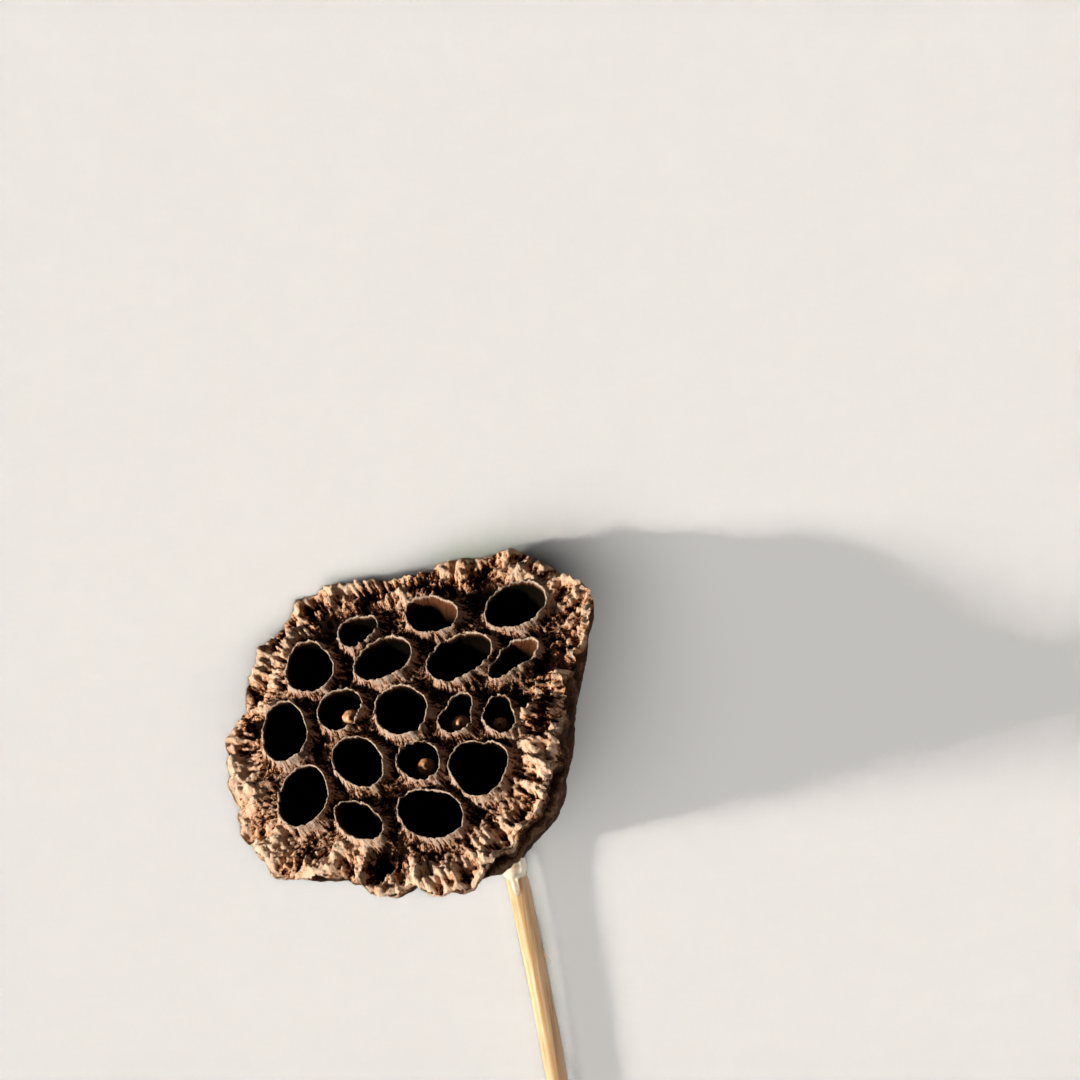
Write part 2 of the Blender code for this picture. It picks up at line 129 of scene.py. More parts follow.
def rim_radius(bearing):
    reach = RIM_RADIUS
    for middle, out, half in RIM_LOBES:
        off = angle_between(bearing, math.radians(middle))
        reach += out * math.exp(-((off / math.radians(half)) ** 2))
    return reach + RAGGED_EDGE * round_noise(bearing, 4, 7)


def knobby(bearing):
    """Share of knobs in the rim's tissue: it is full on the side that shrank least."""
    return math.exp(-((angle_between(bearing, KNOBBY_SIDE) / KNOBBY_HALF) ** 4))


def rounded_side(bearing):
    """Share of the side where the rim dried round, without a curled edge; its colour is painted lighter
    there as light.
    """
    return math.exp(-((angle_between(bearing, ROUNDED_SIDE) / ROUNDED_HALF) ** 4))


def rim_edge(bearing):
    """The rim with its fine raggedness."""
    ragged = 0.6 * round_noise(bearing, 15, 2) + 0.4 * round_noise(bearing, 34, 5)
    ragged += (0.4 + 0.9 * knobby(bearing)) * round_noise(bearing, 60, 8) + 0.7 * rounded_side(bearing)
    return rim_radius(bearing) + ragged * MM


reaches = [rim_edge(math.radians(bearing)) / MM for bearing in range(360)]
print("the rim reaches", round(min(reaches), 1), "to", round(max(reaches), 1), "mm from the middle")

# %% [markdown]
# A lotus pod keeps each seed in a cell of its own, and the mouths of those cells are the holes in its
# face. Round holes cut with a boolean would be quick, but every real mouth has its own shape. Each one
# here is an ellipse pulled towards three corners, with a slightly uneven edge, so one row of numbers
# makes it. The row holds the bearing and distance of the mouth from the middle of the face, its length
# and width, the way its length runs, how three-cornered it is, where a corner points, and whether a seed
# is still in it.

# %% The cells
MIDDLE_CELL = [(98, 2.0, 13.9, 10.8, 140, 0.01, 10, False)]
INNER_CELLS = [
    (-3, 13.2, 9.4, 7.3, 72, 0.12, 75, True),
    (50, 18.2, 14.8, 10.7, 17, 0.02, 16, False),
    (113, 17.1, 13.3, 10.5, 12, 0.02, 108, False),
    (165, 16.2, 10.4, 9.9, 154, 0.05, 41, True),
    (226, 13.2, 15.0, 9.8, 137, 0.03, 61, False),
    (297, 12.3, 11.0, 8.4, 142, 0.02, 67, True),
]
OUTER_CELLS = [
    (-4, 23.2, 9.6, 6.5, 117, 0.09, 77, True),
    (27, 27.7, 12.7, 6.2, 40, 0.09, 115, False),
    (48, 34.9, 13.9, 11.6, 14, 0.03, 98, False),
    (83, 26.0, 13.3, 8.7, 158, 0.03, 114, False),
    (121, 28.0, 9.2, 7.4, 18, 0.06, 23, True),
    (147, 29.7, 14.3, 10.3, 127, 0.06, 102, False),
    (179, 28.7, 15.4, 10.5, 109, 0.05, 109, False),
    (217, 27.1, 14.5, 11.9, 97, 0.03, 104, False),
    (253, 25.0, 13.9, 7.1, 146, 0.01, 93, False),
    (292, 26.1, 16.7, 10.7, 155, 0.03, 28, False),
    (325, 24.4, 14.3, 12.1, 140, 0.08, 32, False),
]
INNER_DEPTH = 18 * MM
OUTER_DEPTH = 15 * MM
SEEDED_DEPTH = 7.2 * MM
TORN_CELLS = (27, 83, 253)


class Cell:
    """One seed chamber."""

    def __init__(self, row, depth):
        bearing, distance, length, width, turn, corner, points_to, seeded = row
        self.centre = polar(distance * MM, math.radians(bearing))
        self.half_length = length * MM / 2
        self.half_width = width * MM / 2
        self.turn = math.radians(turn)
        self.corner = corner
        self.points_to = math.radians(points_to)
        self.seeded = seeded
        self.depth = SEEDED_DEPTH if seeded else depth
        self.grain = distance + bearing
        self.torn = bearing in TORN_CELLS

    def reach(self, bearing):
        """Distance from the cell's centre to the edge of its mouth."""
        along = self.half_width * math.cos(bearing - self.turn)
        across = self.half_length * math.sin(bearing - self.turn)
        ellipse = self.half_length * self.half_width / math.hypot(along, across)
        uneven = 0.35 * round_noise(bearing, 1.6, self.grain) + 0.14 * round_noise(bearing, 5, self.grain)
        return ellipse * (1 + self.corner * math.cos(3 * (bearing - self.points_to))) + uneven * MM

    def gap(self, point):
        """How far outside the mouth's edge a point of the face lies."""
        off = point - self.centre
        return off.length - self.reach(math.atan2(off.y, off.x))


CELLS = [Cell(row, INNER_DEPTH) for row in MIDDLE_CELL + INNER_CELLS]
CELLS += [Cell(row, OUTER_DEPTH) for row in OUTER_CELLS]
print(len(CELLS), "cells,", sum(cell.seeded for cell in CELLS), "with a seed")

# %% [markdown]
# The tissue is made of fibres that run out across the rim and out from every mouth, and here and there
# it sank into a hollow. Fibres as real strands would take millions of faces. Each point of the mesh gets
# three coordinates instead, which change fast across the fibres and slowly along them. Ordinary noise
# looks like fibres when it is read at those coordinates, and it follows the form on every side.

# %% Hollows and fibres
HOLLOWS = [
    (19, 34.0, 4.5, 2.6),
    (89, 35.0, 4.5, 2.6),
    (113, 35.5, 3.5, 2.4),
    (70, 36.5, 4.0, 2.0),
    (131, 37.0, 3.5, 1.8),
    (-128, 37.5, 3.5, 2.0),
    (-94, 34.5, 3.5, 2.2),
    (172, 38.5, 2.6, 1.6),
    (-152, 38.5, 2.6, 1.6),
    (4, 30.5, 3.4, 1.8),
]
RIM_FIBRES = 60
RIM_FIBRE = 2.5 * MM
CELL_FIBRES = 14
CELL_FIBRE = 1.2 * MM
WALL_FIBRE = 7 * MM


def hollow_at(point):
    """Depth of the hollows; a row holds a bearing, a distance, a radius and a depth."""
    depth = 0
    for bearing, distance, radius, deep in HOLLOWS:
        off = (point - polar(distance * MM, math.radians(bearing))).length
        depth += deep * MM * math.exp(-((off / (radius * MM)) ** 2))
    return depth


def noise_at(point, size, layer):
    """Noise over the face; size is the width of its lumps."""
    return noise.noise(Vector((point.x / size, point.y / size, layer)))


def fibre_way(point, cell, gap, band):
    """Coordinates that turn noise into fibres: out across the rim, and out from each mouth."""
    if band > 0.5:
        return (*polar(RIM_FIBRES, math.atan2(point.y, point.x)), point.length / RIM_FIBRE)
    off = point - cell.centre
    return (*polar(CELL_FIBRES, math.atan2(off.y, off.x)), cell.grain + gap / CELL_FIBRE)


depths = [hollow_at(polar(row[1] * MM, math.radians(row[0]))) / MM for row in HOLLOWS]
print(len(HOLLOWS), "hollows, the deepest", round(max(depths), 1), "mm")

# %% [markdown]
# Round each mouth stands a thin collar with a narrow flat lip, whose flank falls into the sunken net
# between the cells. Towards the rim the tissue dried into lumps and radial ridges, and the very edge
# curls up. It could be sculpted by hand. A height over the flat outline was chosen, because the same
# function also says how far each point stands out from its surroundings. That drives the colour later:
# crests are bleached, and furrows, troughs and hollows come out nearly black, partly as the tissue's
# own tone and partly as painted shade.

# %% The height of the face
DOME = 2.0 * MM
LEVEL = 1.1 * MM
COLLAR = 3.5 * MM
COLLAR_FLANK = 0.95 * MM
LIP_WIDTH = 0.28 * MM
OPEN_GROUND = 1.6 * MM
RIDGE_BAND = 9.5 * MM
ROUNDED_DROP = 1.4 * MM
ROUNDED_RUN = 3.4 * MM
DARK_HOLLOW = 1.8 * MM


def rim_relief(point, bearing, from_rim):
    """Ridges, lumps and knobs near the rim: their height in mm, and how far they stand out."""
    rounded = rounded_side(bearing)
    big = crest(round_noise(bearing, 5.5, point.length / (9 * MM)))
    radial = crest(round_noise(bearing, 22, point.length / (13 * MM)))
    strands = crest(round_noise(bearing, 52, point.length / (6 * MM)))
    lumps = crest(noise_at(point, 2.8 * MM, 9))
    specks = crest(noise_at(point, 1.4 * MM, 27))
    knobs = knobby(bearing) * max(0, 0.55 - abs(noise_at(point, 2.3 * MM, 31))) * 2
    edge = math.exp(-(((from_rim - 0.6 * MM) / (1.1 * MM)) ** 2))
    edge *= (0.6 + 1.0 * round_noise(bearing, 9, 1)) * (1 - 0.7 * knobby(bearing)) * (1 - rounded)
    trough = math.exp(-(((from_rim - 3.0 * MM) / (1.4 * MM)) ** 2))
    trough *= max(0, 0.5 + 1.6 * round_noise(bearing, 7, 4)) * (1 - 0.7 * rounded)
    inward = min(1, 0.25 + from_rim / (2.0 * MM))
    relief = 0.95 * radial + 0.7 * strands + 0.7 * lumps + 0.35 * specks + 1.5 * knobs
    relief = 2.0 * big + inward * relief + 1.4 * edge - 1.4 * trough
    # Painted shade: the trough inside the curled edge is painted darker, on top of its real depth.
    stand_out = 0.5 * big + 0.38 * radial + 0.28 * strands + 0.28 * lumps + 0.35 * edge - 0.7 * trough
    # Painted light: the rounded side, which faces the key light, is painted lighter.
    return relief + 1.1, stand_out + 0.11 * rounded


def collar_relief(point, cell, gap):
    """Ribs and fibres on a mouth's collar: their height in mm, and how far they stand out."""
    off = point - cell.centre
    bearing = math.atan2(off.y, off.x)
    near_lip = math.exp(-gap / (1.8 * MM))
    on_flank = near_lip * min(1, gap / (0.4 * MM))
    ribs = near_lip * crest(round_noise(bearing, 5.5, cell.grain + gap / (4 * MM)))
    fibres = on_flank * crest(round_noise(bearing, 9, cell.grain + gap / (2.5 * MM)))
    return 0.35 * ribs + 0.25 * fibres, 0.3 * ribs + 0.3 * fibres


def face_surface(point):
    """Height, how far it stands out (-1 to 1), distance to a mouth, share of rim, way of its fibres."""
    bearing = math.atan2(point.y, point.x)
    from_rim = rim_edge(bearing) - point.length
    nearest = min(CELLS, key=lambda cell: cell.gap(point))
    gap = max(0, nearest.gap(point))
    band = math.exp(-((from_rim / RIDGE_BAND) ** 4))
    open_ground = 1 - math.exp(-((gap / OPEN_GROUND) ** 2))
    sunk = 1 - math.exp(-max(0, gap - LIP_WIDTH) / COLLAR_FLANK)
    hollow = open_ground * hollow_at(point)
    ridges, ridges_out = rim_relief(point, bearing, from_rim)
    ribs, ribs_out = collar_relief(point, nearest, gap)
    net = crest(noise_at(point, 2.2 * MM, 14))
    fine = noise_at(point, 1.1 * MM, 17)
    grain = noise_at(point, 0.6 * MM, 21)
    rough = 0.6 + 0.6 * min(1, gap / (0.4 * MM))

    height = DOME * (1 - (point.length / RIM_RADIUS) ** 2) + LEVEL
    height -= COLLAR * sunk * (1 + 0.45 * noise_at(point, 7 * MM, 3))
    height += band * open_ground * ridges * MM
    height -= rounded_side(bearing) * ROUNDED_DROP * math.exp(-((from_rim / ROUNDED_RUN) ** 2))
    height += ribs * MM - hollow
    height += rough * (0.40 * (1 - band) * net + 0.5 * fine + 0.45 * grain) * MM

    # Painted shade: the net is painted darker the further it sinks from a lip, and each hollow darker by
    # its depth, on top of the tissue's own tone.
    in_net = 0.15 - 0.98 * sunk + 0.42 * net + ribs_out
    stand_out = band * (ridges_out + 0.06) + (1 - band) * in_net
    stand_out += 0.45 * fine + 0.4 * grain - hollow / DARK_HOLLOW
    return height, stand_out, gap, band, fibre_way(point, nearest, gap, band)


between_cells = polar(9 * MM, math.radians(80))
print("between two cells the face is", round(face_surface(between_cells)[0] / MM, 1), "mm high")

# %% [markdown]
# The outer wall narrows from the rim to the neck almost like a cone, with deep folds under the rim and
# finer creases across them, as on a shrunken leather purse. A turned profile would give a smooth cone,
# and cloth simulation would fold it by chance. A reach for each bearing and depth was chosen, because it
# joins the ragged rim exactly, and lets one side have its ledge: a second fold with a sharp upper edge.

# %% The outer wall
NECK_RADIUS = 5.0 * MM
WALL_ROUNDNESS = 1.35
STRAIGHTER = 0.45
STRAIGHTER_AT = math.radians(-93)
STRAIGHTER_HALF = math.radians(28)
LOBES_FADE = 26 * MM
RIDGE = 1.9 * MM
RIDGE_REACH = 12 * MM
FOLD = 3.6 * MM
RIM_BLEND = 1.3 * MM
RIM_CARRY = 12 * MM
LEDGE_AT = 6.2 * MM
LEDGE_BEARING = math.radians(-42)
LEDGE_HALF = math.radians(24)
LEDGE_CUT = 1.9 * MM
LEDGE_OUT = 1.3 * MM


def ledge_out(bearing, depth):
    """How far the ledge stands out, or its cut above goes in."""
    here = math.exp(-((angle_between(bearing, LEDGE_BEARING) / LEDGE_HALF) ** 4))
    line = LEDGE_AT + 1.2 * MM * round_noise(bearing, 4, 11)
    above = line - depth
    if above > 0:
        return -here * LEDGE_CUT * math.exp(-((above / (1.6 * MM)) ** 2)) * min(1, above / (0.4 * MM))
    return here * LEDGE_OUT * math.exp(above / (3.5 * MM))


def cone_reach(bearing, depth):
    """The smooth wall: the rim's lobes fade out as it narrows to the neck."""
    share = depth / POD_DEPTH
    neck = NECK_RADIUS / RIM_RADIUS
    off = angle_between(bearing, STRAIGHTER_AT) / STRAIGHTER_HALF
    roundness = WALL_ROUNDNESS - STRAIGHTER * math.exp(-(off**2))
    ratio = neck + (1 - neck) * (1 - share**roundness)
    fade = min(1, depth / LOBES_FADE)
    return (rim_radius(bearing) * (1 - fade) + RIM_RADIUS * fade) * ratio


def wall_surface(bearing, depth, rim_height):
    """A point of the wall and how far it stands out."""
    left = 1 - depth / POD_DEPTH
    near_rim = math.exp(-depth / RIDGE_REACH)
    big = crest(round_noise(bearing, 5.5, depth / (14 * MM)))
    fold = round_noise(bearing, 2.6, 3 + depth / (40 * MM))
    creases = crest(round_noise(bearing, 12, depth / (22 * MM)))
    small = round_noise(bearing, 30, depth / (2.2 * MM))
    cross = crest(round_noise(bearing, 7, depth / (3.0 * MM)))
    ledge = ledge_out(bearing, depth)
    rise = math.exp(-depth / RIM_BLEND)

    reach = cone_reach(bearing, depth)
    reach += RIDGE * (big - 0.3) * near_rim
    reach += FOLD * fold * left * min(1, depth / (8 * MM))
    reach += (0.8 * left * (creases - 0.3) + 0.22 * small + 0.25 * left * cross) * MM
    reach = (reach + ledge) * (1 - rise) + rim_edge(bearing) * rise
    carried = max(0, 1 - depth / RIM_CARRY)
    # Its colour follows this too: creases and the cut above the ledge come out darker, partly as the wall's
    # own tone and partly as painted shade.
    stand_out = 0.4 * (creases - 0.3) + 0.4 * small + 0.3 * (big - 0.3) * near_rim + ledge / (1.5 * MM)
    return Vector((*polar(reach, bearing), rim_height * carried - depth)), stand_out


halfway, _ = wall_surface(0, POD_DEPTH / 2, 0)
print("halfway down, the wall is", round(halfway.xy.length / MM, 1), "mm from the axis")

# %% [markdown]
# The pod's skin is one closed sheet of tissue that runs from the face over the rim and down the wall, and
# from the face down into every cell. It could be a subdivided and displaced solid, but its lips and folds
# would need an even, very fine mesh everywhere. A mesh grown from rings puts its points where the form
# turns. The list of places grows together with the tones and the fibre coordinates of each point.

# %% A mesh that grows by rings
RIM_POINTS = 480
MOUTH_POINTS = 72


class Skin:
    """Lists of places, tones, fibre coordinates and faces that grow into one mesh."""

    def __init__(self):
        self.places = []
        self.tones = []
        self.ways = []
        self.faces = []

    def add(self, place, tone, way=(0, 0, 0)):
        self.places.append(place)
        self.tones.append(tone)
        self.ways.append(way)
        return len(self.places) - 1

    def bridge(self, ring, following):
        """Joins two rings of the same number of points."""
        for i in range(len(ring)):
            j = (i + 1) % len(ring)
            self.faces.append((ring[i], ring[j], following[j], following[i]))
        return following

    def close(self, ring, middle):
        for i in range(len(ring)):
            self.faces.append((ring[i], ring[(i + 1) % len(ring)], middle))


def bearings_of(count):
    return [2 * math.pi * i / count for i in range(count)]


print("a ring has", RIM_POINTS, "points at the rim and", MOUTH_POINTS, "at a mouth")

# %% [markdown]
# The lips are the sharpest lines of the face, so the mesh has to follow them. A plain grid would cut them
# into steps. Five loops run round every mouth, from its edge down the flank of its collar, and three run
# along the rim. Where two collars nearly touch, the loops draw closer so that they never cross.

# %% Loops round the mouths and along the rim
LIP_OFFSETS = (0, 0.15, 0.3, 0.55, 0.95)
RIM_INSETS = (0, 0.5, 1.0)
RIM_FREE = (RIM_INSETS[-1] + 0.4) * MM
NARROWEST_LIP = 0.3


def measure_rooms():
    """For each mouth point, how much of the full lip width fits between it and its neighbours."""
    widest = LIP_OFFSETS[-1] * MM
    for cell in CELLS:
        cell.rooms = []
        others = [other for other in CELLS if other is not cell]
        for bearing in bearings_of(MOUTH_POINTS):
            edge = cell.centre + polar(cell.reach(bearing), bearing)
            between = min(other.gap(edge) for other in others) / 2
            to_rim = rim_edge(math.atan2(edge.y, edge.x)) - edge.length - RIM_FREE
            cell.rooms.append(max(NARROWEST_LIP, min(1, 0.9 * between / widest, to_rim / widest)))


def face_loops():
    """Loops along the rim and round each mouth; the mouths' edges come last."""
    loops = [[polar(rim_edge(b) - inset * MM, b) for b in bearings_of(RIM_POINTS)] for inset in RIM_INSETS]
    for offset in reversed(LIP_OFFSETS):
        for cell in CELLS:
            loop = []
            for bearing, room in zip(bearings_of(MOUTH_POINTS), cell.rooms):
                loop.append(cell.centre + polar(cell.reach(bearing) + offset * MM * room, bearing))
            loops.append(loop)
    return loops


measure_rooms()
loops = face_loops()
print(len(loops), "loops with", sum(len(loop) for loop in loops), "points")

# %% [markdown]
# Between the loops the tissue is a rough net. An even grid would show as lines in its shade, and points
# thrown at random would clump. A hexagonal grid with a little jitter avoids both. The draws are seeded,
# so that every run gives the same pod.

# %% Loose points between the loops
NET_SPACING = 0.4 * MM
NET_JITTER = 0.15
NET_FREE = 0.3 * MM
CLOSEST = 0.55 * NET_SPACING


def box_of(point):
    return round(point.x / NET_SPACING), round(point.y / NET_SPACING)


def points_near(taken, point):
    """The loops' points in the nine boxes round a point."""
    column, row = box_of(point)
    near = []
    for i in (-1, 0, 1):
        for j in (-1, 0, 1):
            near += taken.get((column + i, row + j), [])
    return near


def loose_points(loops):
    """A jittered hexagonal grid between the loops."""
    draw = random.Random(5)
    taken = {}
    for loop in loops:
        for point in loop:
            taken.setdefault(box_of(point), []).append(point)
    row_step = NET_SPACING * math.sqrt(3) / 2
    rows = int(1.25 * RIM_RADIUS / row_step)
    found = []
    for row in range(-rows, rows + 1):
        for column in range(-rows, rows + 1):
            x = NET_SPACING * (column + 0.5 * (row % 2) + draw.uniform(-NET_JITTER, NET_JITTER))
            y = row_step * row + NET_SPACING * draw.uniform(-NET_JITTER, NET_JITTER)
            point = Vector((x, y))
            if point.length > rim_edge(math.atan2(y, x)) - RIM_FREE:
                continue
            if min(cell.gap(point) for cell in CELLS) < NET_FREE:
                continue
            if all((point - other).length > CLOSEST for other in points_near(taken, point)):
                found.append(point)
    return found


net = loose_points(loops)
print(len(net), "loose points")

# %% [markdown]
# The face is the sheet that spans all those points. Joining them by hand is out of the question, and a
# grid fill needs matching sides. A constrained Delaunay triangulation takes any points, keeps every loop
# as an edge and avoids thin triangles. Each point then gets its height and its tones: how far it stands
# out, and how pale it is as part of a lip. Triangles inside a mouth are left out.

# %% The face
NET_PALE = 0.4


def grow_face(skin, loops, net):
    """Adds the face to the skin and returns the outer ring and each mouth's ring."""
    flat = [point for loop in loops for point in loop] + net
    outlines = []
    start = 0
    for loop in loops:
        outlines.append(list(range(start, start + len(loop))))
        start += len(loop)
    points, _, triangles, sources, _, inside = delaunay_2d_cdt(flat, [], outlines, 0, 1e-8)
    for point in points:
        height, stand_out, gap, band, way = face_surface(point)
        pale = max(math.exp(-((gap / LIP_WIDTH) ** 4)), NET_PALE * (1 - band))
        skin.add(Vector((*point, height)), (0.5 + 0.5 * stand_out, pale, 0, 0), way)
    first_mouth = len(loops) - len(CELLS)
    for corners, within in zip(triangles, inside):
        if 0 in within and max(within) < first_mouth:
            skin.faces.append(tuple(corners))
    index_of = {old: new for new, olds in enumerate(sources) for old in olds}
    rings = [[index_of[i] for i in outline] for outline in outlines]
    return rings[0], rings[first_mouth:]


pod_skin = Skin()
rim_ring, mouth_rings = grow_face(pod_skin, loops, net)
print("the face has", len(pod_skin.faces), "triangles")

# %% [markdown]
# Under its lip a real cell widens and then narrows to a bowl where the seed sat, which is why it looks
# black from above. A few cells are torn on one side and let some light in. Holes cut through the face
# would have straight sides. Rings that go down from each mouth's own edge keep its shape and can bulge.

# %% Down into the cells
CELL_RINGS = 20
CELLS_MEET = 62 * MM
BULGE = 1.5 * MM
BULGE_FROM = 1.6 * MM
BULGE_RUN = 2.6 * MM
BOWL_FROM = 0.6
TORN_SIDE = math.radians(34)
TORN_HALF = math.radians(50)
TORN_IN = 2.4 * MM
TORN_RUN = 6 * MM
LIP_EDGE = 0.15 * MM
LIP_FADE = 0.35 * MM
# How deep a cell's wall takes to reach its painted shade; torn cells keep the lighter brown deeper, as
# painted light.
DARK_BELOW = 0.8 * MM
TORN_DARK_BELOW = 3.5 * MM


def cell_ring(cell, mouth, share):
    """The ring of a cell at a share of the way down, from its mouth's points."""
    depth = cell.depth * share
    narrow = 1 - depth / CELLS_MEET
    bowl = math.sqrt(max(0.0004, 1 - max(0, (share - BOWL_FROM) / (1 - BOWL_FROM)) ** 2))
    under = min(1, max(0, depth - BULGE_FROM) / BULGE_RUN)
    ring = []
    for place, room, bearing in zip(mouth, cell.rooms, bearings_of(MOUTH_POINTS)):
        out = min(BULGE, max(0, 1.5 * room * LIP_OFFSETS[-1] - 0.3) * MM) * math.sin(math.pi / 2 * under)
        if cell.torn:
            torn = math.exp(-((angle_between(bearing, TORN_SIDE) / TORN_HALF) ** 2))
            out = out * (1 - torn) - TORN_IN * torn * min(1, depth / TORN_RUN)
        out += 0.16 * MM * round_noise(bearing, 4, share * 4 + cell.grain) * under
        edge = place.xy - cell.centre
        flat = (cell.centre + (edge + edge.normalized() * out) * bowl) * narrow
        level = place.z * (1 - share) + cell.middle_height * share
        ring.append(Vector((*flat, level - depth)))
    return ring


def grow_cell(skin, cell, ring):
    """Rings down a cell: out under the lip, then in towards a bowl-shaped floor."""
    mouth = [skin.places[i].copy() for i in ring]
    cell.middle_height = sum(place.z for place in mouth) / len(mouth)
    dark_below = TORN_DARK_BELOW if cell.torn else DARK_BELOW
    for step in range(1, CELL_RINGS + 1):
        share = (step / CELL_RINGS) ** 1.5
        depth = cell.depth * share
        inside = min(1, max(0, depth - LIP_EDGE) / LIP_FADE)
        # Painted shade: the inner wall is painted darker with depth, to near black; in torn cells the
        # lighter brown reaches deeper, as painted light where light comes in.
        tone = (0.5, 1 - inside, inside, min(1, depth / dark_below))
        following = []
        for place, bearing in zip(cell_ring(cell, mouth, share), bearings_of(MOUTH_POINTS)):
            way = (*polar(CELL_FIBRES, bearing), cell.grain + depth / CELL_FIBRE)
            following.append(skin.add(place, tone, way))
        ring = skin.bridge(ring, following)
    floor = sum((skin.places[i] for i in ring), Vector()) / len(ring)
    skin.close(ring, skin.add(floor, (0.4, 0, 1, 1)))


for cell, ring in zip(CELLS, mouth_rings):
    grow_cell(pod_skin, cell, ring)
print("with its cells, the skin has", len(pod_skin.faces), "faces")

# %% [markdown]
# The wall is the same tissue as the face and folds over at the rim. It could be a mesh of its own that is
# joined later, but then a seam could open. So it hangs from the rim's own points. Its rings lie close
# under the rim, where the folds are sharp, and spread towards the neck. The last rings sink a little:
# that is the scar where the pod's own stalk broke off.

# %% Down the wall
WALL_RINGS = 62
WALL_SPREAD = 1.35
SIDE_FROM = 1.6 * MM
SCAR_DEPTH = 1.2 * MM
SCAR_RINGS = ((0.86, 0), (0.7, SCAR_DEPTH), (0.35, SCAR_DEPTH))


def grow_wall(skin, ring):
    """Rings down the wall to the neck, and the scar at its end."""
    rim_heights = [skin.places[i].z for i in ring]
    for step in range(1, WALL_RINGS + 1):
        depth = POD_DEPTH * (step / WALL_RINGS) ** WALL_SPREAD
        side = min(1, depth / SIDE_FROM)
        following = []
        for bearing, rim_height in zip(bearings_of(RIM_POINTS), rim_heights):
            place, stand_out = wall_surface(bearing, depth, rim_height)
            way = (*polar(RIM_FIBRES, bearing), rim_edge(bearing) / RIM_FIBRE + depth / WALL_FIBRE)
            following.append(skin.add(place, (0.5 + 0.5 * stand_out, 0, 0, side), way))
        ring = skin.bridge(ring, following)
    for reach, depth in SCAR_RINGS:
        following = []
        for bearing in bearings_of(RIM_POINTS):
            out = reach * NECK_RADIUS * (1 + 0.08 * round_noise(bearing, 3, reach))
            following.append(skin.add(Vector((*polar(out, bearing), depth - POD_DEPTH)), (0.5, 0, 0, 1)))
        ring = skin.bridge(ring, following)
    skin.close(ring, skin.add(Vector((0, 0, SCAR_DEPTH - POD_DEPTH)), (0.5, 0, 0, 1)))


grow_wall(pod_skin, rim_ring)
print("with its wall, the skin has", len(pod_skin.faces), "faces")

# %% [markdown]
# The finished skin is laid on the floor and worn flat where it rests, as a real pod's side is. Tones
# could be painted into an image, but an image needs an unwrapped mesh and has a fixed sharpness. Mesh
# attributes store them at the points, and the material reads them by name.

# %% The pod's mesh


def mesh_from(name, places, faces):
    mesh = bpy.data.meshes.new(name)
    mesh.from_pydata(places, [], faces)
    mesh.validate()
    mesh.shade_smooth()
    return mesh


def laid_on_floor(place):
    """From the pod's own frame to the floor's, worn flat where it rests."""
    laid = POD_TO_FLOOR @ place
    laid.z = max(laid.z, 0)
    return laid


pod_mesh = mesh_from("lotus_pod", [laid_on_floor(place) for place in pod_skin.places], pod_skin.faces)
tone = pod_mesh.attributes.new("tone", "FLOAT_COLOR", "POINT")
tone.data.foreach_set("color", [value for tones in pod_skin.tones for value in tones])
way = pod_mesh.attributes.new("fibre_way", "FLOAT_VECTOR", "POINT")
way.data.foreach_set("vector", [value for ways in pod_skin.ways for value in ways])
print("the pod's mesh has", len(pod_mesh.vertices), "points and", len(pod_mesh.polygons), "faces")

# %% [markdown]
# Every finish here is a pattern of lumps and fibres in dull, dry colours. Photographs could give it, but
# each mesh would have to be unwrapped for them. Noise in the object's own space was chosen: it needs no
# unwrapping, and it stays on the surface from every side. These helpers make the patterns.

# %% Helpers for patterns


def start_material(name):
    material = bpy.data.materials.new(name)
    material.use_nodes = True
    return material, material.node_tree, material.node_tree.nodes["Principled BSDF"]


def add_noise(tree, scale, detail=4.0, stretch=None, rough=0.5):
    """A noise texture; scale is lumps per metre, stretch squeezes it along an axis."""
    texture = tree.nodes.new("ShaderNodeTexNoise")
    texture.inputs["Scale"].default_value = scale
    texture.inputs["Detail"].default_value = detail
    texture.inputs["Roughness"].default_value = rough
    coordinates = tree.nodes.new("ShaderNodeTexCoord")
    mapping = tree.nodes.new("ShaderNodeMapping")
    mapping.inputs["Scale"].default_value = stretch or (1, 1, 1)
    tree.links.new(coordinates.outputs["Object"], mapping.inputs["Vector"])
    tree.links.new(mapping.outputs["Vector"], texture.inputs["Vector"])
    return texture.outputs["Fac"]


def add_fibres(tree):
    """Fibres: a noise over the mesh's own fibre_way coordinates."""
    way = tree.nodes.new("ShaderNodeAttribute")
    way.attribute_name = "fibre_way"
    texture = tree.nodes.new("ShaderNodeTexNoise")
    texture.inputs["Scale"].default_value = 1
    texture.inputs["Detail"].default_value = 3
    texture.inputs["Roughness"].default_value = 0.6
    tree.links.new(way.outputs["Vector"], texture.inputs["Vector"])
    return texture.outputs["Fac"]


def add_bump(tree, shader, height, distance, strength=1.0):
    bump = tree.nodes.new("ShaderNodeBump")
    bump.inputs["Distance"].default_value = distance
    bump.inputs["Strength"].default_value = strength
    tree.links.new(height, bump.inputs["Height"])
    tree.links.new(bump.outputs["Normal"], shader.inputs["Normal"])


# %% [markdown]
# A pattern is only a grey value. To become tissue, straw or glue it is added to others, and then turned
# into colours. Each node could be made and linked by hand in every material. These helpers do it in one
# line each, so that a material reads like a recipe.

# %% Helpers for numbers and colours


def set_or_link(tree, socket, value):
    """Gives a socket a number or a colour, or links another node to it."""
    if isinstance(value, tuple):
        socket.default_value = (*value, 1)
    elif isinstance(value, (int, float)):
        socket.default_value = value
    else:
        tree.links.new(value, socket)


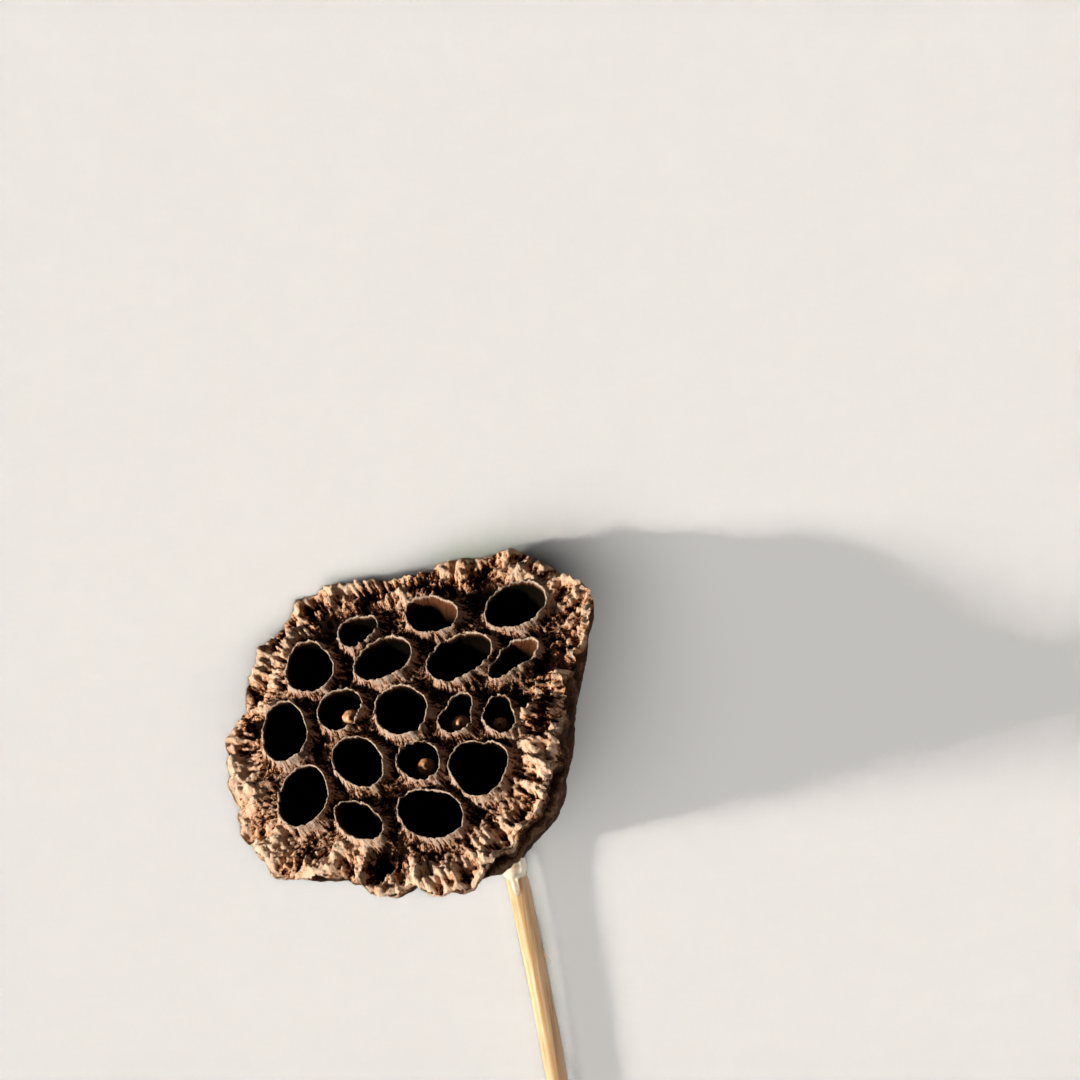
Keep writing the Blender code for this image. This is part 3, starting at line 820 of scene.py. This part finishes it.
def add_math(tree, operation, a, b, plus=None, clamp=False):
    """A sum on two values; plus is the third one that MULTIPLY_ADD takes."""
    node = tree.nodes.new("ShaderNodeMath")
    node.operation = operation
    node.use_clamp = clamp
    set_or_link(tree, node.inputs[0], a)
    set_or_link(tree, node.inputs[1], b)
    if plus is not None:
        node.inputs[2].default_value = plus
    return node.outputs["Value"]


def add_ramp(tree, value, stops):
    """A colour ramp from (position, colour) stops."""
    ramp = tree.nodes.new("ShaderNodeValToRGB")
    elements = ramp.color_ramp.elements
    while len(elements) < len(stops):
        elements.new(0.5)
    for element, (position, colour) in zip(elements, stops):
        element.position = position
        element.color = (*colour, 1)
    tree.links.new(value, ramp.inputs["Fac"])
    return ramp.outputs["Color"]


def add_mix(tree, share, a, b, blend="MIX"):
    """Mixes two colours; a colour may be a socket or three numbers."""
    node = tree.nodes.new("ShaderNodeMix")
    node.data_type = "RGBA"
    node.blend_type = blend
    set_or_link(tree, node.inputs["Factor"], share)
    set_or_link(tree, node.inputs[6], a)
    set_or_link(tree, node.inputs[7], b)
    return node.outputs[2]


# %% [markdown]
# The pod's colour follows its relief: peach crests that the sun bleached, orange-brown slopes and nearly
# black furrows, whose dark is partly the tissue's own tone and partly painted shade. The lips are pale,
# and the cells are painted almost black inside as shade, darkest at depth. The outer wall is a dark
# leathery brown. It could be one brown with noise, but then its colour and its form wouldn't agree. Two
# ramps read the stored tones instead, one for the face and one for the wall.

# %% The pod's finish
FACE_COLOURS = [
    (0.24, (0.009, 0.003, 0.002)),
    (0.38, (0.055, 0.016, 0.006)),
    (0.48, (0.36, 0.135, 0.052)),
    (0.58, (0.66, 0.37, 0.215)),
    (0.84, (0.74, 0.51, 0.35)),
]
WALL_COLOURS = [
    (0.15, (0.008, 0.0035, 0.002)),
    (0.45, (0.027, 0.0115, 0.0065)),
    (0.70, (0.075, 0.035, 0.019)),
    (0.95, (0.21, 0.12, 0.07)),
]
NET_TINT = (0.70, 0.75, 0.84)
LIP_COLOUR = (0.62, 0.47, 0.34)
# The inner wall's own brown near the mouth, which reaches deeper in torn cells as painted light, and the
# painted shade deep in every cell.
CELL_WALL_AND_TORN_LIGHT = (0.13, 0.045, 0.018)
PAINTED_CELL_SHADE = (0.003, 0.002, 0.001)
DRY_SHINE = 0.03
DRY_SHINE_TINT = (1.0, 0.72, 0.55, 1)
FIBRES_ON_WALL = 0.25


def pod_finish():
    material, tree, shader = start_material("dried_pod")
    tones = tree.nodes.new("ShaderNodeAttribute")
    tones.attribute_name = "tone"
    parts = tree.nodes.new("ShaderNodeSeparateColor")
    tree.links.new(tones.outputs["Color"], parts.inputs["Color"])
    relief, pale, inside = (parts.outputs[name] for name in ("Red", "Green", "Blue"))
    side = tones.outputs["Alpha"]

    flecks = add_noise(tree, 1900, 4, rough=0.65)
    speckle = add_math(tree, "MULTIPLY_ADD", flecks, 1.0, plus=-0.5)
    uneven = add_math(tree, "MULTIPLY_ADD", add_noise(tree, 260, 5, rough=0.6), 1.0, plus=-0.5)
    on_face = add_math(tree, "MULTIPLY_ADD", side, FIBRES_ON_WALL - 1, plus=1.0)
    fibres = add_math(tree, "MULTIPLY", add_math(tree, "SUBTRACT", add_fibres(tree), 0.5), on_face)
    fine = add_math(tree, "ADD", speckle, add_math(tree, "MULTIPLY", fibres, 1.6))
    shade = add_math(tree, "ADD", relief, add_math(tree, "ADD", uneven, fine), clamp=True)

    in_net = add_math(tree, "MULTIPLY", pale, 2.5, clamp=True)
    on_lip = add_math(tree, "MULTIPLY_ADD", pale, 1.4, plus=-0.65, clamp=True)
    face = add_mix(tree, in_net, add_ramp(tree, shade, FACE_COLOURS), NET_TINT, "MULTIPLY")
    face = add_mix(tree, on_lip, face, LIP_COLOUR)
    colour = add_mix(tree, side, face, add_ramp(tree, shade, WALL_COLOURS))
    # Painted shade inside the cells, and painted light further down the torn ones.
    colour = add_mix(tree, inside, colour, add_mix(tree, side, CELL_WALL_AND_TORN_LIGHT, PAINTED_CELL_SHADE))
    tree.links.new(colour, shader.inputs["Base Color"])

    rough = add_math(tree, "MULTIPLY_ADD", flecks, 0.3, plus=0.6)
    tree.links.new(rough, shader.inputs["Roughness"])
    shader.inputs["Specular IOR Level"].default_value = DRY_SHINE
    shader.inputs["Specular Tint"].default_value = DRY_SHINE_TINT
    grain = add_math(tree, "ADD", flecks, add_noise(tree, 700, 6, rough=0.7))
    add_bump(tree, shader, add_math(tree, "ADD", grain, fibres), 0.6 * MM, 0.9)
    return material


def piece_from(name, mesh, material, replaced):
    """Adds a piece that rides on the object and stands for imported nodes."""
    mesh.materials.append(material)
    piece = bpy.data.objects.new(name, mesh)
    bpy.context.scene.collection.objects.link(piece)
    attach(piece, "root")
    if replaced:
        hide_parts(replaced)
    return piece


pod = piece_from("lotus_pod", pod_mesh, pod_finish(), "pod")
print(pod.name, "has the finish", pod.data.materials[0].name)

# %% [markdown]
# The stem is a reed: a thin stick with shallow flutes that bows a little. A curve with a round bevel
# would be the quick way, but its section would be a plain circle. Rings round a line let the flutes and
# fibres run along it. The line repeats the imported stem's own, so the mesh sits where the solid is.

# %% The stem's shape
STEM_LENGTH = 190 * MM
STEM_INSIDE = 8 * MM
STEM_RADIUS = 2.5 * MM
STEM_TIP_RADIUS = 2.3 * MM
STEM_BOW = math.radians(10)
STEM_RINGS = 260
STEM_SIDES = 64
FLUTES = 9


def stem_direction(run):
    heading = STEM_BOW * (0.5 - run / STEM_LENGTH)
    return Vector((-math.sin(heading), math.cos(heading), 0))


def stem_line(points):
    """The stem's middle line, from inside the neck to the cut end."""
    step = STEM_LENGTH / (points - 1)
    fall = (NECK_AT.z - STEM_TIP_RADIUS) / (STEM_LENGTH - STEM_INSIDE)
    place = NECK_AT - stem_direction(0) * STEM_INSIDE
    place.z += fall * STEM_INSIDE
    line = []
    for i in range(points):
        line.append(place.copy())
        place += stem_direction(i * step - STEM_INSIDE) * step
        place.z -= fall * step
    return line


def ring_round(place, along, radius_at, count):
    """Points round a line; a bearing of a quarter turn is up."""
    side = along.cross(Vector((0, 0, 1))).normalized()
    up = side.cross(along).normalized()
    return [place + (side * math.cos(b) + up * math.sin(b)) * radius_at(b) for b in bearings_of(count)]


def flute(bearing, run):
    """Share of the radius that the flutes and fibres take off or add."""
    ribs = 0.030 * math.cos(FLUTES * bearing + 0.6 * math.sin(run / (60 * MM)))
    wide = round_noise(bearing, 6, run / (30 * MM))
    thin = round_noise(bearing, 14, run / (12 * MM))
    return ribs + 0.016 * wide + 0.010 * thin - 0.03


def tube(rings):
    """One closed mesh through rings of points."""
    skin = Skin()
    ring = [skin.add(place, None) for place in rings[0]]
    skin.close(ring[::-1], skin.add(sum(rings[0], Vector()) / len(rings[0]), None))
    for places in rings[1:]:
        ring = skin.bridge(ring, [skin.add(place, None) for place in places])
    skin.close(ring, skin.add(sum(rings[-1], Vector()) / len(rings[-1]), None))
    return skin


def stem_mesh():
    line = stem_line(STEM_RINGS)
    rings = []
    for i, place in enumerate(line):
        along = (line[min(i + 1, len(line) - 1)] - line[max(i - 1, 0)]).normalized()
        share = i / (len(line) - 1)
        run = share * STEM_LENGTH
        radius = STEM_RADIUS + (STEM_TIP_RADIUS - STEM_RADIUS) * share

        def radius_at(bearing, radius=radius, run=run):
            return radius * (1 + flute(bearing, run))

        rings.append(ring_round(place, along, radius_at, STEM_SIDES))
    skin = tube(rings)
    return mesh_from("reed_stem", skin.places, skin.faces)


reed = stem_mesh()
print("the stem has", len(reed.vertices), "points")

# %% [markdown]
# Straw is pale and satin, with brown fibres along its length, and some light passes through its skin.
# Its fibres could follow mesh coordinates as the pod's do. The stem lies nearly along Y, so noise that is
# stretched that way does the same with less. Subsurface scattering gives the soft edge to its shade.

# %% Straw
STRAW_COLOURS = [(0.32, (0.42, 0.24, 0.10)), (0.46, (0.58, 0.42, 0.24)), (0.60, (0.68, 0.56, 0.38))]
STRAW_BLOTCHES = [(0.35, (0.85, 0.78, 0.66)), (0.65, (1, 1, 1))]


def straw_finish():
    material, tree, shader = start_material("straw")
    fibres = add_noise(tree, 2600, 3, stretch=(1, 0.012, 1))
    bands = add_noise(tree, 420, 3, stretch=(1, 0.05, 1))
    half_fibres = add_math(tree, "MULTIPLY", fibres, 0.5)
    grain = add_math(tree, "ADD", half_fibres, add_math(tree, "MULTIPLY", bands, 0.5))
    blotches = add_ramp(tree, add_noise(tree, 60, 4), STRAW_BLOTCHES)
    colour = add_mix(tree, 1.0, add_ramp(tree, grain, STRAW_COLOURS), blotches, "MULTIPLY")
    tree.links.new(colour, shader.inputs["Base Color"])
    shader.inputs["Roughness"].default_value = 0.42
    shader.inputs["Subsurface Weight"].default_value = 0.9
    shader.inputs["Subsurface Radius"].default_value = (1.0, 0.6, 0.3)
    shader.inputs["Subsurface Scale"].default_value = 5 * MM
    add_bump(tree, shader, fibres, 0.12 * MM, 0.6)
    return material


straw = straw_finish()
stem = piece_from("reed_stem", reed, straw, "stem")
print(stem.name, "has the finish", straw.name)

# %% [markdown]
# One fibre has lifted off the side of the stem, as dry reed splinters do. A bump in the stem's own mesh
# could not stand free of it. A tapered tube of its own that curls away does, and takes the straw finish.

# %% The splinter
PACKED_LINE = 34
SPLINTER_AT = 29 * MM
SPLINTER_POINTS = 12
SPLINTER_SIDES = 8
SPLINTER_THICK = 0.28 * MM
SPLINTER_OUT = 1.5 * MM
SPLINTER_RUN = 3.0 * MM
SPLINTER_LIFT = 0.6 * MM


def splinter_mesh():
    line = stem_line(PACKED_LINE)
    start = min(line, key=lambda place: abs(place.y - NECK_AT.y - SPLINTER_AT))
    last = SPLINTER_POINTS - 1
    places = []
    for i in range(SPLINTER_POINTS):
        share = i / last
        out = STEM_RADIUS * 0.92 + SPLINTER_OUT * share**1.6
        places.append(start + Vector((-out, SPLINTER_RUN * share, SPLINTER_LIFT * math.sin(2.2 * share))))
    rings = []
    for i, place in enumerate(places):
        along = (places[min(i + 1, last)] - places[max(i - 1, 0)]).normalized()
        thick = SPLINTER_THICK * (1 - 0.7 * i / last)
        rings.append(ring_round(place, along, lambda bearing, thick=thick: thick, SPLINTER_SIDES))
    skin = tube(rings)
    return mesh_from("splinter", skin.places, skin.faces)


splinter = piece_from("splinter", splinter_mesh(), straw, None)
print("the splinter is", round(splinter.dimensions.y / MM, 1), "mm long")

# %% [markdown]
# Five cells still hold a seed, shrivelled to a small hard bead with a nub at its tip and a dark dot
# beside it. A scaled sphere has the size but neither nub nor wrinkles. Rings from pole to pole take both,
# and each seed gets its own wrinkles from its number.

# %% The seeds' shape
SEED_LENGTH = 5.2 * MM
SEED_WIDTH = 4.5 * MM
SEED_NUB = 0.6 * MM
SEED_RINGS = 40
SEED_SIDES = 48


def seed_shape(number):
    """A wrinkled bead with its nub on +Z, in metres."""
    rings = []
    for i in range(1, SEED_RINGS):
        slope = math.pi * i / SEED_RINGS
        ring = []
        for bearing in bearings_of(SEED_SIDES):
            unit = Vector((*polar(math.sin(slope), bearing), -math.cos(slope)))
            nub = math.exp(-((math.sin(slope) / 0.3) ** 2)) if unit.z > 0 else 0
            folds = crest(round_noise(bearing, 2, unit.z + number))
            width = SEED_WIDTH / 2 * (0.97 + 0.07 * noise.noise(unit * 2.5) + 0.025 * folds)
            ring.append(Vector((unit.x * width, unit.y * width, unit.z * SEED_LENGTH / 2 + SEED_NUB * nub)))
        rings.append(ring)
    return rings


def seed_marks_and_shade(own):
    """How dark the coat is: a dot beside the nub and a faint ring round it, which are stains, and painted
    shade on the lower sides.
    """
    # Painted shade: the coat is painted darker away from the nub, down its lower sides.
    side = 0.55 * min(1, max(0, 1.1 - own.z) ** 2)
    if own.z <= 0:
        return min(1, side)
    dot = math.exp(-((math.hypot(own.x - 0.06, own.y) / 0.2) ** 4))
    ring = 0.45 * math.exp(-(((math.hypot(own.x, own.y) - 0.42) / 0.07) ** 2))
    return min(1, dot + ring + side)


print("a seed is", round(SEED_LENGTH / MM, 1), "mm long before it is scaled")

# %% [markdown]
# A dried seed has a red-brown, slightly glossy coat. The dark dot and ring could be separate pieces, but
# they are stains in the coat, and the darker lower sides are painted shade. They are stored at the mesh's
# points, and the material mixes them over the coat.
# Each seed lies where the imported seed lies, which its box gives.

# %% The seeds
SEED_SCALES = [0.94, 1.0, 0.92, 0.8, 0.8]
SEED_LEAN = math.radians(28)
SEED_LEANS_TO = math.radians(-50)
SEED_COLOURS = [(0.35, (0.64, 0.25, 0.11)), (0.65, (0.86, 0.46, 0.23))]
# The colour of the stains and of the painted shade on the lower sides.
SEED_MARK_AND_SHADE_COLOUR = (0.05, 0.015, 0.008)


def seed_finish():
    material, tree, shader = start_material("seed_coat")
    # The tip attribute holds the stains and the painted shade on the lower sides.
    mark_and_shade = tree.nodes.new("ShaderNodeAttribute")
    mark_and_shade.attribute_name = "tip"
    blotches = add_noise(tree, 700, 4)
    coat = add_ramp(tree, blotches, SEED_COLOURS)
    tree.links.new(add_mix(tree, mark_and_shade.outputs["Fac"], coat, SEED_MARK_AND_SHADE_COLOUR), shader.inputs["Base Color"])
    shader.inputs["Roughness"].default_value = 0.35
    add_bump(tree, shader, blotches, 0.1 * MM, 0.4)
    return material


seed_coat = seed_finish()
for number, scale in enumerate(SEED_SCALES, 1):
    node = f"seed_{number}"
    low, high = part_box(node)
    lean = Matrix.Rotation(SEED_LEANS_TO, 3, "Z") @ Matrix.Rotation(SEED_LEAN, 3, "Y")
    turn = TURN.to_3x3() @ lean * scale
    shape = tube([[turn @ place for place in ring] for ring in seed_shape(number)])
    middle = (low + high) / 2 - turn @ Vector((0, 0, SEED_NUB / 2))
    mesh = mesh_from(node + "_bead", [place + middle for place in shape.places], shape.faces)
    marks_and_shade = [seed_marks_and_shade((turn.inverted() @ place) / (SEED_LENGTH / 2)) for place in shape.places]
    mesh.attributes.new("tip", "FLOAT", "POINT").data.foreach_set("value", marks_and_shade)
    piece_from(node + "_bead", mesh, seed_coat, node)
print(len(SEED_SCALES), "seeds placed")

# %% [markdown]
# A bead of hot glue holds the stem at the neck. It set as a lumpy collar, thickest on top, with a drip
# that ran a little way down the stem. Metaballs or a fluid could make such a blob, but both are hard to
# keep against the stem. Rings round the stem's line can't leave it: only their radius changes.

# %% The glue's shape
GLUE_START = -4 * MM
GLUE_END = 9 * MM
GLUE_THICK = 1.9 * MM
GLUE_LUMPS = 0.5 * MM
GLUE_BELOW = 0.08
GLUE_FACES = math.radians(48)
DRIP_AT = 1.35
DRIP_END = 14 * MM
DRIP_THICK = 0.8 * MM
DRIP_LUMPS = 0.25 * MM
GLUE_RINGS = 70
GLUE_SIDES = 72


def glue_radius(bearing, run):
    """How far the glue reaches from the stem's middle line: most on top and to one side."""
    share = (run - GLUE_START) / (GLUE_END - GLUE_START)
    uneven = GLUE_BELOW + (1 - GLUE_BELOW) * (1 + math.cos(bearing - GLUE_FACES)) / 2
    lump = round_noise(bearing, 1.3, run / (3 * MM)) + 0.4
    lump += 0.5 * round_noise(bearing, 2.6, run / (1.6 * MM))
    collar = GLUE_THICK * math.sqrt(max(0, 1 - share**1.5))
    collar += GLUE_LUMPS * lump * min(1, 8 * max(0, 1 - share))
    drip_width = 0.5 - 0.25 * max(0, run) / DRIP_END
    drip = math.exp(-((angle_between(bearing, DRIP_AT) / drip_width) ** 2))
    drip *= min(1, max(0, DRIP_END - run) / (3 * MM))
    bare = -0.35 * MM * min(1, max(0, share - 0.9) / 0.1)
    return STEM_RADIUS * 0.98 + max(collar * uneven + bare, (DRIP_THICK + DRIP_LUMPS * lump) * drip + bare)


def glue_mesh():
    line = stem_line(PACKED_LINE)
    along = (line[1] - line[0]).normalized()
    rings = []
    for i in range(GLUE_RINGS):
        run = GLUE_START + (DRIP_END - GLUE_START) * i / (GLUE_RINGS - 1)

        def radius_at(bearing, run=run):
            return glue_radius(bearing, run)

        rings.append(ring_round(line[0] + along * (STEM_INSIDE + run), along, radius_at, GLUE_SIDES))
    skin = tube(rings)
    return mesh_from("glue", [Vector((p.x, p.y, max(p.z, 0))) for p in skin.places], skin.faces)


bead = glue_mesh()
print("the glue has", len(bead.vertices), "points")

# %% [markdown]
# Hot glue is cloudy and cream-coloured, with a wet gloss. Clear glass would look too empty, and paint too
# solid. A little transmission with much subsurface scattering lies between the two.

# %% Hot glue
GLUE_COLOURS = [(0.35, (0.72, 0.58, 0.36)), (0.65, (0.95, 0.88, 0.72))]


def glue_finish():
    material, tree, shader = start_material("hot_glue")
    clouds = add_noise(tree, 500, 3)
    tree.links.new(add_ramp(tree, clouds, GLUE_COLOURS), shader.inputs["Base Color"])
    shader.inputs["Roughness"].default_value = 0.12
    shader.inputs["IOR"].default_value = 1.48
    shader.inputs["Transmission Weight"].default_value = 0.3
    shader.inputs["Subsurface Weight"].default_value = 0.7
    shader.inputs["Subsurface Radius"].default_value = (1.0, 0.8, 0.5)
    shader.inputs["Subsurface Scale"].default_value = 3 * MM
    add_bump(tree, shader, clouds, 0.3 * MM, 0.3)
    return material


glue = piece_from("glue", bead, glue_finish(), "glue_bead")
print(glue.name, "has the finish", glue.data.materials[0].name)

# %% [markdown]
# The photograph's view is nearly parallel, so the camera is a long lens from far away. It could be placed
# by trial. Its axes are given in the pod's own frame instead, so that the face is seen from the side the
# photograph shows, and it is aimed so that the middle of the face falls on its place in the picture.

# %% The camera
PICTURE = 1080
PICTURE_WIDTH = 232.2 * MM
FACE_PIXEL = (407.5, 725)
PICTURE_RIGHT = Vector((0.904, 0.114, -0.411)).normalized()
PICTURE_BACK = Vector((0.411, -0.494, 0.766)).normalized()
CAMERA_AWAY = 2.0
SENSOR = 36
right = TURN.to_3x3() @ PICTURE_RIGHT
back = TURN.to_3x3() @ PICTURE_BACK
up = back.cross(right).normalized()
right = up.cross(back)
pixel = PICTURE_WIDTH / PICTURE
aim = FACE_AT + right * (PICTURE / 2 - FACE_PIXEL[0]) * pixel + up * (FACE_PIXEL[1] - PICTURE / 2) * pixel

camera_data = bpy.data.cameras.new("camera")
camera_data.sensor_width = SENSOR
camera_data.lens = SENSOR * CAMERA_AWAY / PICTURE_WIDTH
camera_data.clip_end = 20
camera = bpy.data.objects.new("camera", camera_data)
bpy.context.scene.collection.objects.link(camera)
axes = Matrix((right, up, back)).transposed().to_4x4()
camera.matrix_world = Matrix.Translation(aim + back * CAMERA_AWAY) @ axes
bpy.context.scene.camera = camera
print("lens", round(camera_data.lens), "mm; camera direction", [round(c, 3) for c in back])

# %% [markdown]
# In the photograph a low light rakes across the face from the left, which is what draws every lip and
# ridge. A large soft light alone would flatten them. So a low key sun is the main light, and a dim world
# fills the shadows a little. Two softer suns are kept for single jobs: one for the floor, as a backdrop
# is lit in a studio, and one from behind for the wall, the stem and the glue.

# %% The lights
KEY_FROM = (-0.93, -0.2, 0.31)
KEY_STRENGTH = 7.4
KEY_ANGLE = math.radians(8)
KEY_TINT = (1.0, 0.96, 0.90)
BACKDROP_FROM = Vector((0.1, 0.1, 1))
BACKDROP_STRENGTH = 5.5
BACKDROP_ANGLE = math.radians(60)
BACKDROP_TINT = (1, 0.985, 0.965)
WALL_LIGHT_FROM = Vector((-0.85, 0.45, 0.35))
WALL_LIGHT_STRENGTH = 1.5
WALL_LIGHT_ANGLE = math.radians(50)
WALL_LIGHT_TINT = (1.0, 0.93, 0.85)
FILL = 0.06
FILL_TINT = (0.97, 0.98, 1.0, 1)


def add_sun(name, direction, strength, angle, colour):
    """A sun that shines from a direction; a wider angle makes softer shadows."""
    data = bpy.data.lights.new(name, "SUN")
    data.energy = strength
    data.angle = angle
    data.color = colour
    sun = bpy.data.objects.new(name, data)
    sun.rotation_mode = "QUATERNION"
    sun.rotation_quaternion = direction.to_track_quat("Z", "Y")
    bpy.context.scene.collection.objects.link(sun)
    return sun


key_from = (right * KEY_FROM[0] + up * KEY_FROM[1] + back * KEY_FROM[2]).normalized()
add_sun("key", key_from, KEY_STRENGTH, KEY_ANGLE, KEY_TINT)
backdrop_light = add_sun("backdrop_light", BACKDROP_FROM, BACKDROP_STRENGTH, BACKDROP_ANGLE, BACKDROP_TINT)
wall_light = add_sun("wall_light", WALL_LIGHT_FROM, WALL_LIGHT_STRENGTH, WALL_LIGHT_ANGLE, WALL_LIGHT_TINT)
print("key light", round(math.degrees(math.asin(key_from.z))), "degrees above the floor")

world = bpy.data.worlds.new("studio")
world.use_nodes = True
world.node_tree.nodes["Background"].inputs["Color"].default_value = FILL_TINT
world.node_tree.nodes["Background"].inputs["Strength"].default_value = FILL
bpy.context.scene.world = world
bpy.context.scene.view_settings.view_transform = "Standard"

# %% [markdown]
# The floor is a plain pale sheet. Under the key light alone it would be too dark, and a whiter sheet
# would throw its light up into the pod's deep shadows. So light linking gives the floor a light that
# reaches nothing else, and the floor is hidden from the rays that carry soft light between surfaces.

# %% The floor
FLOOR_SIZE = 8
FLOOR_COLOUR = (0.293, 0.288, 0.280, 1)


def light_only(sun, name, objects):
    """Lets a light reach only some objects."""
    lit = bpy.data.collections.new(name)
    for item in objects:
        lit.objects.link(item)
    sun.light_linking.receiver_collection = lit


def floor_finish():
    material, tree, shader = start_material("pale_floor")
    shader.inputs["Base Color"].default_value = FLOOR_COLOUR
    shader.inputs["Roughness"].default_value = 0.9
    return material


bpy.ops.mesh.primitive_plane_add(size=FLOOR_SIZE, location=(0, 0, 0))
floor = bpy.context.object
floor.name = "floor"
floor.data.materials.append(floor_finish())
floor.visible_diffuse = False
light_only(backdrop_light, "lit_by_backdrop_light", [floor])
light_only(wall_light, "lit_by_wall_light", [pod, stem, glue])
print("the floor is", FLOOR_SIZE, "m wide")
